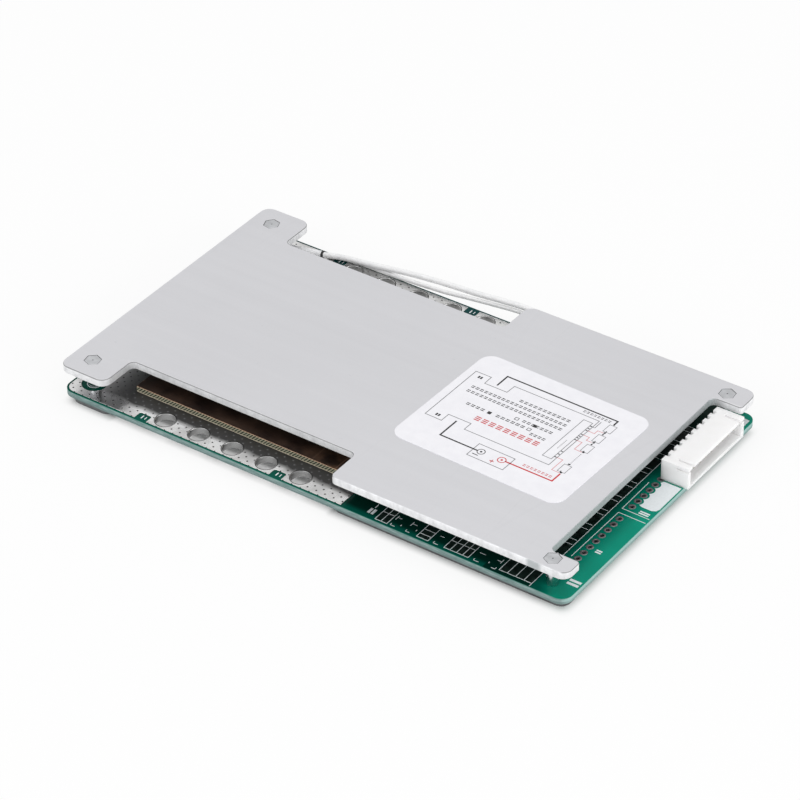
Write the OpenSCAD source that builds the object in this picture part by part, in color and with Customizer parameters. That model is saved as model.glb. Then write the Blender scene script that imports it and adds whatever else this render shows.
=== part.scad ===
// Battery management board for a series battery pack.
// A green circuit board is clamped between two notched aluminium heatsinks. The upper heatsink
// stands on four self-clinching standoffs, and the lower one is held by countersunk screws that
// pass through the board into the same standoffs. The notches in both plates leave the rows of
// large cable holes open at the front and rear, and the bay at the right end leaves room for the
// balance-lead holes and the plug socket.
//
// The origin is on the underside of the lower heatsink, below the middle of the circuit board.
// +X runs along the board towards the plug socket, +Y towards the rear cable holes, +Z up.

/* [Circuit board] */
// Length of the circuit board
board_l = 144.4; // [130:0.1:170]
// Width of the circuit board
board_w = 83.4; // [78:0.1:110]
// Thickness of the circuit board
board_t = 1.6; // [1.2:0.1:2.4]
// Radius of the circuit board's corners
board_r = 3; // [1:0.5:4]

/* [Heatsink plates] */
// Thickness of the upper heatsink
top_t = 2; // [1.6:0.1:3]
// Thickness of the lower heatsink
bottom_t = 2; // [1.6:0.1:3]
// Clear height between the circuit board and the upper heatsink
gap_h = 5; // [4.8:0.1:6]
// Width of the two left-hand tabs
tab_w = 13.9; // [12:0.1:16]
// Distance from the board's left edge to the far end of the cable notches
notch_end = 79.5; // [76:0.1:84]
// Depth of the cable notches, from the board's long edges
notch_d = 11; // [9:0.1:13]
// Depth of the bay at the right end, from the board's edge
bay_d = 8.3; // [7.2:0.1:9]
// Distance from the board's front edge to the start of the bay
bay_front = 6.4; // [6.2:0.1:8]
// Distance from the board's rear edge to the end of the bay
bay_rear = 7.4; // [6.2:0.1:8]
// Radius of the plates' outer corners
plate_r = 2.6; // [1:0.1:3]
// Radius of the plates' inner corners and of the mouths of the notches
notch_r = 1.5; // [0.5:0.1:2]
// How far the upper heatsink's wide part stays inside the board's front edge
top_front_in = 0.7; // [0:0.1:2]
// How far the upper heatsink stays inside the board's right edge
top_right_in = 0.3; // [0:0.1:1]
// How far the upper heatsink stands out past the board at the left
top_left_over = 0.5; // [0:0.1:2]
// How far the upper heatsink's left-hand tabs stay inside the board's front edge
top_tab_in = 0.2; // [0:0.1:1]
// How far the lower heatsink's wide part stays inside the board's edges
bottom_inset = 1.7; // [0.5:0.1:3]
// How far the lower heatsink's left-hand tabs stay inside the board's edges
bottom_tab_inset = 1.3; // [0.5:0.1:3]

/* [Standoffs and screws] */
// Distance of the left standoffs from the board's left edge
post_left = 5.35; // [4.5:0.05:7]
// Distance of the right standoffs from the board's right edge
post_right = 6.1; // [5:0.05:7]
// Distance of the left standoffs from the board's long edges
post_left_in = 5.95; // [4.5:0.05:7]
// Distance of the right standoffs from the board's long edges
post_right_in = 4.2; // [3.6:0.05:5]
// Diameter of the standoffs' barrels
post_d = 3; // [2.8:0.1:3.4]
// Size of the standoffs' hexagonal heads across the flats
hex_af = 3.8; // [3.6:0.1:4.4]
// Thickness of the hexagonal heads
hex_t = 1; // [0.6:0.1:1.4]
// Diameter of the screws
screw_d = 2; // [1.6:0.1:2.2]
// Diameter of the screws' countersunk heads
screw_head_d = 3.8; // [3.4:0.1:4.2]
// How far the screws reach into the standoffs
screw_reach = 3.6; // [2.5:0.1:4.4]
// Clearance round the screws
screw_clear = 0.1; // [0.05:0.05:0.2]

/* [Cable terminals] */
// Number of cable holes in each row
terminal_n = 5; // [3:1:5]
// Distance between the cable holes
terminal_pitch = 10; // [8:0.1:10.5]
// Diameter of the plated cable holes
terminal_d = 5; // [4:0.1:5.4]
// Distance from the board's left edge to the first cable hole
terminal_first = 28.8; // [26:0.1:34]
// Distance from the board's long edges to the rows of cable holes
terminal_in = 3.7; // [3.5:0.1:4.5]
// Thickness of the tinned copper on the board's faces
copper_t = 0.1; // [0.05:0.05:0.2]
// Thickness of the metal that lines the cable holes
barrel_t = 0.2; // [0.2:0.05:0.3]
// Distance from the board's left edge to the right end of the tinned areas
pour_end = 82.6; // [80.4:0.1:86]
// Gap between the tinned areas and the transistors' feet
pour_gap = 0.1; // [0.1:0.1:1]
// Width of the green border along the board's edges
border = 0.55; // [0.3:0.05:1]
// Radius of the green rings round the left standoffs
ring_r = 3.2; // [2.6:0.1:3.6]
// Width of the green windows for the marks beside the first and last cable holes
mark_w = 3.5; // [2:0.1:3.6]
// Distance from a cable hole to the middle of its mark's window
mark_left = 5.2; // [4.8:0.1:6]
// How far the marks' windows stop short of the row of cable holes
mark_short = 0.8; // [0.5:0.1:2]

/* [Bus strip] */
// Length of the copper-clad strip beside the front cable holes
strip_l = 66; // [40:0.5:66]
// Width of the copper-clad strip
strip_w = 9; // [7:0.1:10]
// Thickness of the copper-clad strip
strip_t = 1.6; // [1.2:0.1:2]
// Distance from the board's left edge to the strip
strip_left = 15.9; // [15:0.1:18]
// Distance from the board's front edge to the strip
strip_in = 9.05; // [8.9:0.05:10]
// Thickness of the copper on each face of the strip
clad_t = 0.15; // [0.1:0.05:0.3]

/* [Balance-lead holes and plug socket] */
// Pin pitch of the plug socket and of the balance-lead holes
pitch = 2.5; // [2.5:0.01:2.54]
// Number of open holes in the front group
front_holes = 10; // [4:1:10]
// Number of open holes in the rear group, before the socket
rear_holes = 6; // [2:1:6]
// Number of pins in the plug socket
pins = 9; // [3:1:9]
// Distance of the row of holes from the board's right edge
row_in = 6.15; // [6:0.05:7]
// Distance from the middle of the board to the front group's last hole
group_mid = 9.6; // [9:0.1:11]
// Extra step between the front group and the rear group
group_gap = 5.4; // [4:0.1:6]
// Diameter of the plated balance-lead holes
lead_d = 1; // [0.95:0.05:1.1]
// Diameter of the tinned rings round the balance-lead holes
land_d = 1.9; // [1.6:0.1:2.2]
// Distance from the plug socket's rear face to the row of holes
socket_set = 0.1; // [0:0.05:0.4]
// Depth of the plug socket, from its rear face to its mouth
socket_d = 7.4; // [7:0.1:9]
// Height of the plug socket
socket_h = 5.75; // [5.5:0.05:6.5]
// How far the socket reaches past its end pins
socket_end = 2.45; // [2.3:0.05:3]
// Wall thickness of the socket's roof and floor
socket_wall = 0.8; // [0.6:0.1:1]
// Thickness of the socket's end walls
socket_end_wall = 1.1; // [0.8:0.1:1.4]
// Thickness of the socket's rear wall
socket_back = 2.2; // [2:0.1:3]
// Size of the square pins
pin_s = 0.64; // [0.5:0.02:0.64]
// How far the pins stand out below the board
pin_tail = 1.5; // [0.8:0.1:1.8]

/* [Power transistors] */
// Number of transistors in each row
fet_n = 7; // [4:1:7]
// Distance between the transistors
fet_pitch = 11.2; // [10.6:0.1:11.4]
// Width of a transistor's body
fet_w = 10.2; // [10:0.1:10.4]
// Length of a transistor's moulded body
fet_l = 9.2; // [8.8:0.1:9.6]
// Height of a transistor lying on the board
fet_h = 4.5; // [4.3:0.1:4.6]
// Length of a transistor's metal tab past its body
fet_tab = 6.2; // [5:0.1:6.6]
// Thickness of a transistor's metal tab
tab_t = 1.3; // [1.2:0.1:1.4]
// Gap between the tabs of the front and rear rows
row_gap = 4; // [2:0.1:6]
// Distance from the board's left edge to the first transistor's middle
fet_first = 15; // [12:0.1:18]
// Thickness of the transistors' leads
lead_t = 0.5; // [0.4:0.05:0.6]
// Width of the transistors' leads
lead_w = 0.8; // [0.7:0.05:0.9]
// Distance between a transistor's leads
lead_step = 2.54; // [2.5:0.01:2.6]
// Height of the leads above the board where they leave the body
lead_rise = 1.6; // [1.2:0.1:2]
// How far the leads run level before they bend down
lead_run = 1.6; // [1.2:0.1:2]
// Length of the leads' feet
lead_foot = 1.6; // [1.2:0.1:2]
// Diameter of the hole in a transistor's tab
tab_hole_d = 3.6; // [3.2:0.1:3.8]
// Wall between that hole and the tab's end
tab_hole_wall = 1.1; // [0.8:0.1:1.3]

/* [Thermal pads] */
// Thickness of the thermal pad below the board
lower_pad_t = 0.3; // [0.2:0.05:0.5]
// How far the upper thermal pad reaches past the transistors
pad_over = 2; // [0:0.1:3]
// How far the lower thermal pad stays inside the lower heatsink
lower_pad_in = 3.2; // [2:0.1:5]

/* [Shunt resistors] */
// Number of shunts on the rear tinned area
shunt_n = 4; // [1:1:4]
// Distance between the shunts
shunt_pitch = 14; // [12:0.1:16]
// Distance from the board's left edge to the first shunt
shunt_first = 24; // [18:0.1:30]
// Distance from the inner edge of the tinned area to the shunts
shunt_in = 4; // [3:0.1:5]
// Length of a shunt
shunt_l = 6.4; // [5:0.1:6.6]
// Width of a shunt
shunt_w = 3.2; // [2.5:0.1:5]
// Height of a shunt
shunt_h = 1.2; // [0.8:0.1:2]
// Length of a shunt's feet
shunt_foot = 1.4; // [1:0.1:2]
// Height of the arch between a shunt's feet
shunt_arch = 0.3; // [0.1:0.05:0.5]

/* [Balance channels] */
// Number of cell channels, each with a resistor, a transistor and a capacitor
cells = 20; // [4:2:20]
// Distance between the cell channels
cell_pitch = 5.6; // [5.2:0.1:6]
// Gap between the parts of a channel
part_gap = 0.5; // [0.3:0.05:1]
// Length of a balance resistor
res_l = 6.3; // [5:0.1:6.6]
// Width of a balance resistor
res_w = 3.2; // [2.5:0.1:4]
// Height of a balance resistor
res_h = 0.6; // [0.4:0.05:1]
// Length of a channel's transistor
sot_l = 2.9; // [2:0.1:3.2]
// Width of a channel's transistor
sot_w = 1.3; // [1:0.1:1.6]
// Height of a channel's transistor
sot_h = 1.1; // [0.8:0.05:1.3]
// Length of a channel's capacitor
cap_l = 2; // [1.6:0.1:2.2]
// Width of a channel's capacitor
cap_w = 1.25; // [0.8:0.05:1.4]
// Height of a channel's capacitor
cap_h = 1.2; // [0.6:0.05:1.4]

/* [Chips] */
// Size of the monitor chip's body
chip_s = 10; // [7:0.1:11]
// Height of the monitor chip's body
chip_h = 1.4; // [1:0.1:2]
// Gap between the monitor chip's body and the board
chip_off = 0.1; // [0.05:0.05:0.2]
// Number of pins on each side of the monitor chip
chip_pins = 12; // [8:1:14]
// How far the monitor chip's pins stand out
chip_pin_l = 1; // [0.8:0.1:1.3]
// Width of the monitor chip's pins
chip_pin_w = 0.3; // [0.2:0.05:0.35]
// Thickness of the monitor chip's pins
chip_pin_t = 0.15; // [0.1:0.05:0.2]
// Distance of the driver chips from the board's middle line
driver_y = 18; // [14:0.1:20]
// Length of a driver chip
driver_l = 5; // [4:0.1:6]
// Width of a driver chip
driver_w = 4; // [3:0.1:5]
// Height of a driver chip
driver_h = 1.5; // [1.2:0.1:2]
// Distance of the inner diodes from the board's middle line
diode_y = 23; // [22.4:0.1:24]
// Distance between two neighbouring diodes
diode_pitch = 4; // [3:0.1:5]
// Length of a protection diode
diode_l = 4.4; // [3.6:0.1:5]
// Width of a protection diode
diode_w = 2.6; // [2:0.1:2.8]
// Height of a protection diode
diode_h = 2.1; // [1.6:0.1:2.4]

/* [Temperature sensor] */
// Diameter of the sensor's sleeve
sleeve_d = 2.1; // [1.8:0.1:2.4]
// Length of the sensor's sleeve
sleeve_l = 11; // [8:0.1:12]
// Wall thickness of the sleeve
sleeve_wall = 0.25; // [0.2:0.05:0.4]
// Thickness of the sleeve's closed end
sleeve_tip = 1; // [0.5:0.1:2]
// Length of the sensor's bead
bead_l = 3; // [2:0.1:5]
// Length of the collar where the leads leave the sleeve
collar_l = 0.6; // [0.4:0.1:1.2]
// Thickness of the collar's wall outside the sleeve
collar_t = 0.1; // [0.05:0.05:0.2]
// Diameter of the wide lead
wide_d = 1.5; // [1.3:0.05:1.5]
// Diameter of the narrow lead
narrow_d = 1.1; // [0.9:0.05:1.1]

/* [Wiring label] */
// Length of the label
label_l = 47.7; // [30:0.1:52]
// Width of the label
label_w = 39.6; // [24:0.1:44]
// Radius of the label's corners
label_r = 4; // [1:0.1:6]
// Thickness of the label film
label_t = 0.1; // [0.05:0.05:0.2]
// Angle at which the label is stuck on
label_turn = -1.6; // [-4:0.1:4]
// How far left of the middle of the wide part the label sits
label_left = 2.4; // [0:0.1:4]
// How far in front of the board's middle line the label sits
label_front = 0.9; // [0:0.1:4]

/* [Hidden] */
fine = 48;
cut = 1;

// Heights of the stack, from the underside of the lower heatsink
board_z = bottom_t + lower_pad_t;
deck_z = board_z + board_t;
roof_z = deck_z + gap_h;
crown_z = roof_z + top_t;

// Edges of the circuit board
left_x = -board_l / 2;
right_x = board_l / 2;
front_y = -board_w / 2;
rear_y = board_w / 2;

// Lines that both heatsinks share
tab_x = left_x - top_left_over + tab_w;
body_x = left_x + notch_end;
notch_y0 = front_y + notch_d;
notch_y1 = rear_y - notch_d;
bay_x = right_x - bay_d;
bay_y0 = front_y + bay_front;
bay_y1 = rear_y - bay_rear;

posts = [
  [left_x + post_left, front_y + post_left_in],
  [right_x - post_right, front_y + post_right_in],
  [right_x - post_right, rear_y - post_right_in],
  [left_x + post_left, rear_y - post_left_in]
];
// Angle at which each hexagonal head happened to be pressed in
hex_turns = [40, 32, 35, 50];

terminals_x = [for (i = [0:terminal_n - 1]) left_x + terminal_first + terminal_pitch * i];
terminal_hole_d = terminal_d + 2 * barrel_t;

// The row of balance-lead holes: an open front group, an open rear group and the socket's pins
row_x = right_x - row_in;
front_row_y = [for (i = [0:front_holes - 1]) -group_mid - pitch * i];
rear_row_y = [for (i = [0:rear_holes - 1]) group_gap - group_mid + pitch * i];
pins_y0 = group_gap - group_mid + pitch * rear_holes;
pins_y = [for (i = [0:pins - 1]) pins_y0 + pitch * i];
lead_hole_d = lead_d + 2 * copper_t;
land_t = copper_t / 2;

socket_x = row_x - socket_set;
socket_y0 = pins_y0 - socket_end;
socket_y1 = pins_y0 + pitch * (pins - 1) + socket_end;
pin_z = deck_z + socket_h / 2;

// The screws' heads lie a little below the lower heatsink's face
head_sink = 0.1;
head_h = (screw_head_d - screw_d) / 2;

fets_x = [for (i = [0:fet_n - 1]) left_x + fet_first + fet_pitch * i];
upper_pad_t = gap_h - fet_h;
// Ends of the rows of transistors, and how far their feet reach from the board's middle line
bank_x0 = fets_x[0] - fet_w / 2;
bank_x1 = fets_x[fet_n - 1] + fet_w / 2;
bank_y = row_gap / 2 + fet_tab + fet_l;
feet_y = bank_y + lead_run + lead_foot;
// Inner edge of the tinned areas, as a distance from the board's middle line
pour_y = feet_y + pour_gap;

// Routes of the leads: distance from the board's left edge, distance from its rear edge (minus
// towards the middle), and height above its upper face
wide_route = [
  [19.55, -3.4, 1.5], [24.9, -1.8, 1.64], [33.2, -0.76, 1.95], [42.2, 0.85, 2.15],
  [52.2, 2, 2.35], [62.2, 2.4, 2.7], [70.2, 3.05, 3], [77.2, 3.5, 3.1], [83.2, 2.5, 2.9],
  [87.7, -0.5, 2.3], [90.7, -4.3, 1.6], [92.7, -8.3, 1], [94.2, -11.7, 0.75]
];
narrow_route = [
  [19.8, -2.1, 0.75], [24.5, -0.75, 0.7], [29, -0.35, 0.7], [33, -0.3, 0.7], [36.5, -0.3, 0.72],
  [40.2, -0.25, 0.78], [44, -0.1, 0.9], [48.2, 0.1, 1], [54.2, 0.4, 1.2], [60.2, 1.2, 1.4],
  [68.2, 2.2, 1.6], [75.2, 2.9, 1.7], [80.4, 2.2, 1.65], [84.6, -0.8, 1.4], [88, -5.6, 0.9],
  [90.2, -10.1, 0.65], [91.2, -13.3, 0.55]
];
rear_corner = [left_x, rear_y, deck_z];
// The sleeve's collar lies on the tinned copper
sleeve_lift = copper_t + sleeve_d / 2 + collar_t;
sleeve_from = [9.2, -5.8, sleeve_lift];
sleeve_to = [19.6, -3.2, sleeve_lift];

// ---------- Plane helpers ----------

// A rectangle between two corners
module span(x0, x1, y0, y1) {
  translate([x0, y0]) square([x1 - x0, y1 - y0]);
}

// What has to go to round the outer corner at p, where s points out of the corner
module corner_waste(p, s, r) {
  translate([p.x - s.x * r, p.y - s.y * r])
    difference() {
      translate([s.x > 0 ? 0 : -r - cut, s.y > 0 ? 0 : -r - cut]) square(r + cut);
      circle(r = r, $fn = fine);
    }
}

// The fillet of the inner corner at p, where s points into the open space
module corner_fillet(p, s, r) {
  translate([p.x + s.x * r, p.y + s.y * r])
    difference() {
      translate([s.x > 0 ? -r : 0, s.y > 0 ? -r : 0]) square(r);
      circle(r = r, $fn = fine);
    }
}

// A rectangle with true round corners
module round_span(x0, x1, y0, y1, r) {
  difference() {
    span(x0, x1, y0, y1);
    for (c = [[x0, y0, -1, -1], [x1, y0, 1, -1], [x1, y1, 1, 1], [x0, y1, -1, 1]])
      corner_waste([c[0], c[1]], [c[2], c[3]], r);
  }
}

// Outline of a heatsink: x0..x1 and y0..y1 bound the wide part, tab_y0..tab_y1 the left tabs
module sink_outline(x0, x1, y0, y1, tab_y0, tab_y1) {
  difference() {
    union() {
      difference() {
        span(x0, x1, y0, y1);
        span(tab_x, body_x, y0 - cut, notch_y0);
        span(tab_x, body_x, notch_y1, y1 + cut);
        span(x0 - cut, body_x, y0 - cut, tab_y0);
        span(x0 - cut, body_x, tab_y1, y1 + cut);
        span(bay_x, x1 + cut, bay_y0, bay_y1);
      }
      corner_fillet([tab_x, notch_y0], [1, -1], notch_r);
      corner_fillet([body_x, notch_y0], [-1, -1], notch_r);
      corner_fillet([tab_x, notch_y1], [1, 1], notch_r);
      corner_fillet([body_x, notch_y1], [-1, 1], notch_r);
      corner_fillet([bay_x, bay_y0], [1, 1], notch_r);
      corner_fillet([bay_x, bay_y1], [1, -1], notch_r);
    }
    corner_waste([x0, tab_y0], [-1, -1], plate_r);
    corner_waste([x0, tab_y1], [-1, 1], plate_r);
    corner_waste([tab_x, tab_y0], [1, -1], plate_r);
    corner_waste([tab_x, tab_y1], [1, 1], plate_r);
    corner_waste([body_x, y0], [-1, -1], notch_r);
    corner_waste([body_x, y1], [-1, 1], plate_r);
    corner_waste([x1, y0], [1, -1], plate_r);
    corner_waste([x1, y1], [1, 1], plate_r);
    corner_waste([x1, bay_y0], [1, 1], notch_r / 2);
    corner_waste([x1, bay_y1], [1, -1], notch_r / 2);
  }
}

// Copies the children to each of the standoffs' places
module at_posts() {
  for (p = posts) translate([p.x, p.y, 0]) children();
}

// ---------- Board and its copper ----------

// Every balance-lead hole, with those under the socket
all_leads_y = concat(front_row_y, rear_row_y, pins_y);

module circuit_board() {
  color("#0c8a68")
    difference() {
      translate([0, 0, board_z])
        linear_extrude(board_t) round_span(left_x, right_x, front_y, rear_y, board_r);
      at_posts()
        translate([0, 0, board_z - cut])
          cylinder(d = screw_d + 2 * screw_clear, h = board_t + 2 * cut, $fn = fine);
      for (x = terminals_x, y = [front_y + terminal_in, rear_y - terminal_in])
        translate([x, y, board_z - cut])
          cylinder(d = terminal_hole_d, h = board_t + 2 * cut, $fn = fine);
      for (y = all_leads_y)
        translate([row_x, y, board_z - cut])
          cylinder(d = lead_hole_d, h = board_t + 2 * cut, $fn = 16);
    }
}

// Tinned copper round one row of cable holes: the pour on the upper face, the plated barrels
// and the pour on the lower face are one piece of metal. Drawn for the front row.
module terminal_copper() {
  row_y = front_y + terminal_in;
  difference() {
    union() {
      translate([0, 0, deck_z])
        linear_extrude(copper_t)
          difference() {
            round_span(left_x + border, left_x + pour_end, front_y + border, -pour_y,
                       board_r - border);
            translate(posts[0]) circle(r = ring_r, $fn = fine);
            for (x = [terminals_x[0], terminals_x[terminal_n - 1]])
              translate([x - mark_left - mark_w / 2, front_y + border - cut])
                square([mark_w, terminal_in - border - mark_short + cut]);
          }
      translate([0, 0, board_z - copper_t])
        linear_extrude(copper_t)
          round_span(tab_x + notch_r, body_x - notch_r, front_y + border, notch_y0 - notch_r, notch_r);
      for (x = terminals_x)
        translate([x, row_y, board_z - copper_t])
          cylinder(d = terminal_hole_d, h = board_t + 2 * copper_t, $fn = fine);
    }
    for (x = terminals_x)
      translate([x, row_y, board_z - cut])
        cylinder(d = terminal_d, h = board_t + 2 * cut, $fn = fine);
  }
}

module front_terminal_pad() {
  color("#c9cbc9") terminal_copper();
}

module rear_terminal_pad() {
  color("#c9cbc9") mirror([0, 1, 0]) terminal_copper();
}

// A plated balance-lead hole: a thin barrel with a ring on both faces of the board
module plated_hole() {
  difference() {
    union() {
      translate([0, 0, board_z - land_t]) cylinder(d = land_d, h = land_t, $fn = 24);
      translate([0, 0, board_z - land_t]) cylinder(d = lead_hole_d, h = board_t + 2 * land_t, $fn = 16);
      translate([0, 0, deck_z]) cylinder(d = land_d, h = land_t, $fn = 24);
    }
    translate([0, 0, board_z - cut]) cylinder(d = lead_d, h = board_t + 2 * cut, $fn = 16);
  }
}

module lead_hole_lands() {
  color("#8f8f8c")
    for (y = all_leads_y) translate([row_x, y, 0]) plated_hole();
}

// ---------- Heatsinks, standoffs and screws ----------

// One standoff's outer shape in the upper plate: the pressed hexagon above the round shank
module clinch_shape(turn) {
  translate([0, 0, crown_z - hex_t])
    rotate([0, 0, turn]) cylinder(d = hex_af / cos(30), h = hex_t, $fn = 6);
  translate([0, 0, deck_z]) cylinder(d = post_d, h = gap_h + top_t - hex_t, $fn = fine);
}

module top_heatsink() {
  color("#cfcfd3")
    difference() {
      translate([0, 0, roof_z])
        linear_extrude(top_t)
          sink_outline(left_x - top_left_over, right_x - top_right_in, front_y + top_front_in, rear_y,
                       front_y + top_tab_in, rear_y - top_tab_in / 2);
      for (i = [0:3]) translate([posts[i].x, posts[i].y, 0]) clinch_shape(hex_turns[i]);
    }
}

module clinch_standoffs() {
  color("#b9bcbe")
    for (i = [0:3])
      translate([posts[i].x, posts[i].y, 0])
        difference() {
          clinch_shape(hex_turns[i]);
          translate([0, 0, deck_z - cut])
            cylinder(d = screw_d, h = gap_h + cut, $fn = fine);
        }
}

// A countersunk screw head's cone, from its flat face upwards
module screw_cone() {
  translate([0, 0, head_sink])
    cylinder(d1 = screw_head_d, d2 = screw_d, h = head_h, $fn = fine);
}

module bottom_heatsink() {
  color("#4b4e50")
    difference() {
      linear_extrude(bottom_t)
        sink_outline(left_x + bottom_tab_inset, right_x - bottom_tab_inset,
                     front_y + bottom_inset, rear_y - bottom_inset,
                     front_y + bottom_tab_inset, rear_y - bottom_tab_inset);
      at_posts() {
        screw_cone();
        translate([0, 0, -cut]) cylinder(d = screw_head_d, h = head_sink + cut, $fn = fine);
        translate([0, 0, -cut])
          cylinder(d = screw_d + 2 * screw_clear, h = bottom_t + 2 * cut, $fn = fine);
      }
    }
}

module standoff_screws() {
  recess_l = screw_d;
  recess_w = recess_l * 0.22;
  recess_h = recess_l * 0.3;
  color("#9a9c9e")
    at_posts()
      difference() {
        union() {
          screw_cone();
          translate([0, 0, head_sink])
            cylinder(d = screw_d, h = deck_z + screw_reach - head_sink, $fn = fine);
        }
        // Cross recess
        for (a = [0, 90])
          rotate([0, 0, a])
            translate([-recess_l / 2, -recess_w / 2, head_sink - cut])
              cube([recess_l, recess_w, recess_h + cut]);
      }
}

// ---------- Thermal pads ----------

module upper_thermal_pad() {
  color("#a9b4bd")
    translate([0, 0, deck_z + fet_h])
      linear_extrude(upper_pad_t)
        span(bank_x0 - pad_over, bank_x1 + pad_over, -bank_y - pad_over / 2, bank_y + pad_over / 2);
}

module lower_thermal_pad() {
  color("#a9b4bd")
    translate([0, 0, bottom_t])
      linear_extrude(lower_pad_t)
        span(left_x + lower_pad_in, bay_x - lower_pad_in,
             notch_y0 + lower_pad_in, notch_y1 - lower_pad_in);
}

// ---------- Power transistors ----------

// How far the ends of a transistor's body are drawn in at the face away from the tab
fet_draft = fet_l / 30;

// Where the body's sloping end face lies at the height z
function fet_face(z) = fet_l - fet_draft * (1 - z / (fet_h - tab_t));

// Copies the children to every transistor. The children's +Y is the transistor's lead side.
module at_fets() {
  for (x = fets_x, side = [0, 1])
    mirror([0, 1 - side, 0]) translate([x, row_gap / 2 + fet_tab, deck_z]) children();
}

// The moulded body, with the sides drawn in towards the face away from the tab
module mosfet_bodies() {
  color("#232325")
    at_fets()
      translate([-fet_w / 2, 0, 0])
        rotate([90, 0, 90])
          linear_extrude(fet_w)
            polygon([[fet_draft, 0], [fet_face(0), 0], [fet_l, fet_h - tab_t],
                     [0, fet_h - tab_t]]);
}

module mosfet_tabs() {
  color("#bfc2c4")
    at_fets()
      translate([0, 0, fet_h - tab_t])
        linear_extrude(tab_t)
          difference() {
            span(-fet_w / 2, fet_w / 2, -fet_tab, fet_l);
            translate([0, tab_hole_d / 2 - fet_tab + tab_hole_wall])
              circle(d = tab_hole_d, $fn = fine);
          }
}

// A flat lead that leaves the body, steps down to the board and ends in a foot
module mosfet_leads() {
  knee_y = fet_l + lead_run;
  crest = lead_rise + lead_t;
  color("#c4c6c7")
    at_fets()
      for (k = [-1, 0, 1])
        translate([lead_step * k - lead_w / 2, 0, 0])
          rotate([90, 0, 90])
            linear_extrude(lead_w)
              polygon([[fet_face(lead_rise), lead_rise], [knee_y, lead_rise], [knee_y, 0],
                       [knee_y + lead_foot, 0], [knee_y + lead_foot, lead_t],
                       [knee_y + lead_t, lead_t], [knee_y + lead_t, crest],
                       [fet_face(crest), crest]]);
}

// ---------- Copper-clad strip and shunts ----------

strip_x0 = left_x + strip_left;
strip_y0 = front_y + strip_in;

module bus_strip_core() {
  color("#6d7a5d")
    translate([strip_x0, strip_y0, deck_z + copper_t + clad_t])
      cube([strip_l, strip_w, strip_t - 2 * clad_t]);
}

module bus_strip_copper() {
  color("#5a3d2b")
    for (z = [0, strip_t - clad_t])
      translate([strip_x0, strip_y0, deck_z + copper_t + z]) cube([strip_l, strip_w, clad_t]);
}

// Metal-strip shunts in a row on the rear tinned area
module shunt_resistors() {
  color("#8c8478")
    for (i = [0:shunt_n - 1])
      translate([left_x + shunt_first + shunt_pitch * i, pour_y + shunt_in, deck_z + copper_t])
        rotate([90, 0, 90])
          linear_extrude(shunt_w)
            polygon([[0, 0], [shunt_foot, 0], [shunt_foot, shunt_arch],
                     [shunt_l - shunt_foot, shunt_arch], [shunt_l - shunt_foot, 0],
                     [shunt_l, 0], [shunt_l, shunt_h], [0, shunt_h]]);
}

// ---------- Control electronics ----------

chip_span = chip_s + 2 * chip_pin_l;
cell_span = cap_w + sot_w + res_l + 2 * part_gap;
// The chips and the two columns of channels share the room between the rows of power transistors
// and the bay, with equal gaps
bench_gap = (bay_x - bank_x1 - chip_span - 2 * cell_span) / 4;
chip_x = bank_x1 + bench_gap + chip_span / 2;
cells_x = [for (i = [0, 1]) bay_x - (i + 1) * (bench_gap + cell_span)];
cell_rows = cells / 2;

// Copies the children to the cell channels: two columns, each of half the cells. The children's
// origin is at the channel's left end.
module at_cells() {
  for (i = [0:cell_rows - 1], x = cells_x)
    translate([x, cell_pitch * (i - (cell_rows - 1) / 2), deck_z]) children();
}

// A block on a channel's middle line
module channel_part(x, l, w, h) {
  at_cells() translate([x, -w / 2, 0]) cube([l, w, h]);
}

module filter_capacitors() {
  color("#a07b52") channel_part(0, cap_w, cap_l, cap_h);
}

module balance_transistors() {
  color("#262628") channel_part(cap_w + part_gap, sot_w, sot_l, sot_h);
}

module balance_resistors() {
  color("#2c2c2e") channel_part(cap_w + sot_w + 2 * part_gap, res_l, res_w, res_h);
}

module monitor_chip() {
  color("#1d1d1f")
    translate([chip_x - chip_s / 2, -chip_s / 2, deck_z + chip_off])
      cube([chip_s, chip_s, chip_h]);
}

// Gull-wing pins on the chip's four sides
module monitor_pins() {
  row = chip_s - 2 * chip_pin_l;
  step = row / (chip_pins - 1);
  z = chip_off + chip_h / 2;
  bend = chip_pin_l / 2;
  color("#b8babb")
    translate([chip_x, 0, deck_z])
      for (a = [0:90:270], i = [0:chip_pins - 1])
        rotate([0, 0, a])
          translate([chip_s / 2, step * i - row / 2 + chip_pin_w / 2, 0])
            rotate([90, 0, 0])
              linear_extrude(chip_pin_w)
                polygon([[0, z - chip_pin_t], [bend - chip_pin_t, z - chip_pin_t],
                         [bend - chip_pin_t, 0], [chip_pin_l, 0], [chip_pin_l, chip_pin_t],
                         [bend, chip_pin_t], [bend, z], [0, z]]);
}

module driver_chips() {
  color("#1d1d1f")
    for (y = [-driver_y, driver_y])
      translate([chip_x - driver_w / 2, y - driver_l / 2, deck_z])
        cube([driver_w, driver_l, driver_h]);
}

module protection_diodes() {
  color("#202022")
    for (k = [0, 1], side = [-1, 1])
      translate([chip_x - diode_l / 2, side * (diode_y + diode_pitch * k) - diode_w / 2, deck_z])
        cube([diode_l, diode_w, diode_h]);
}

// ---------- Plug socket ----------

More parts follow.
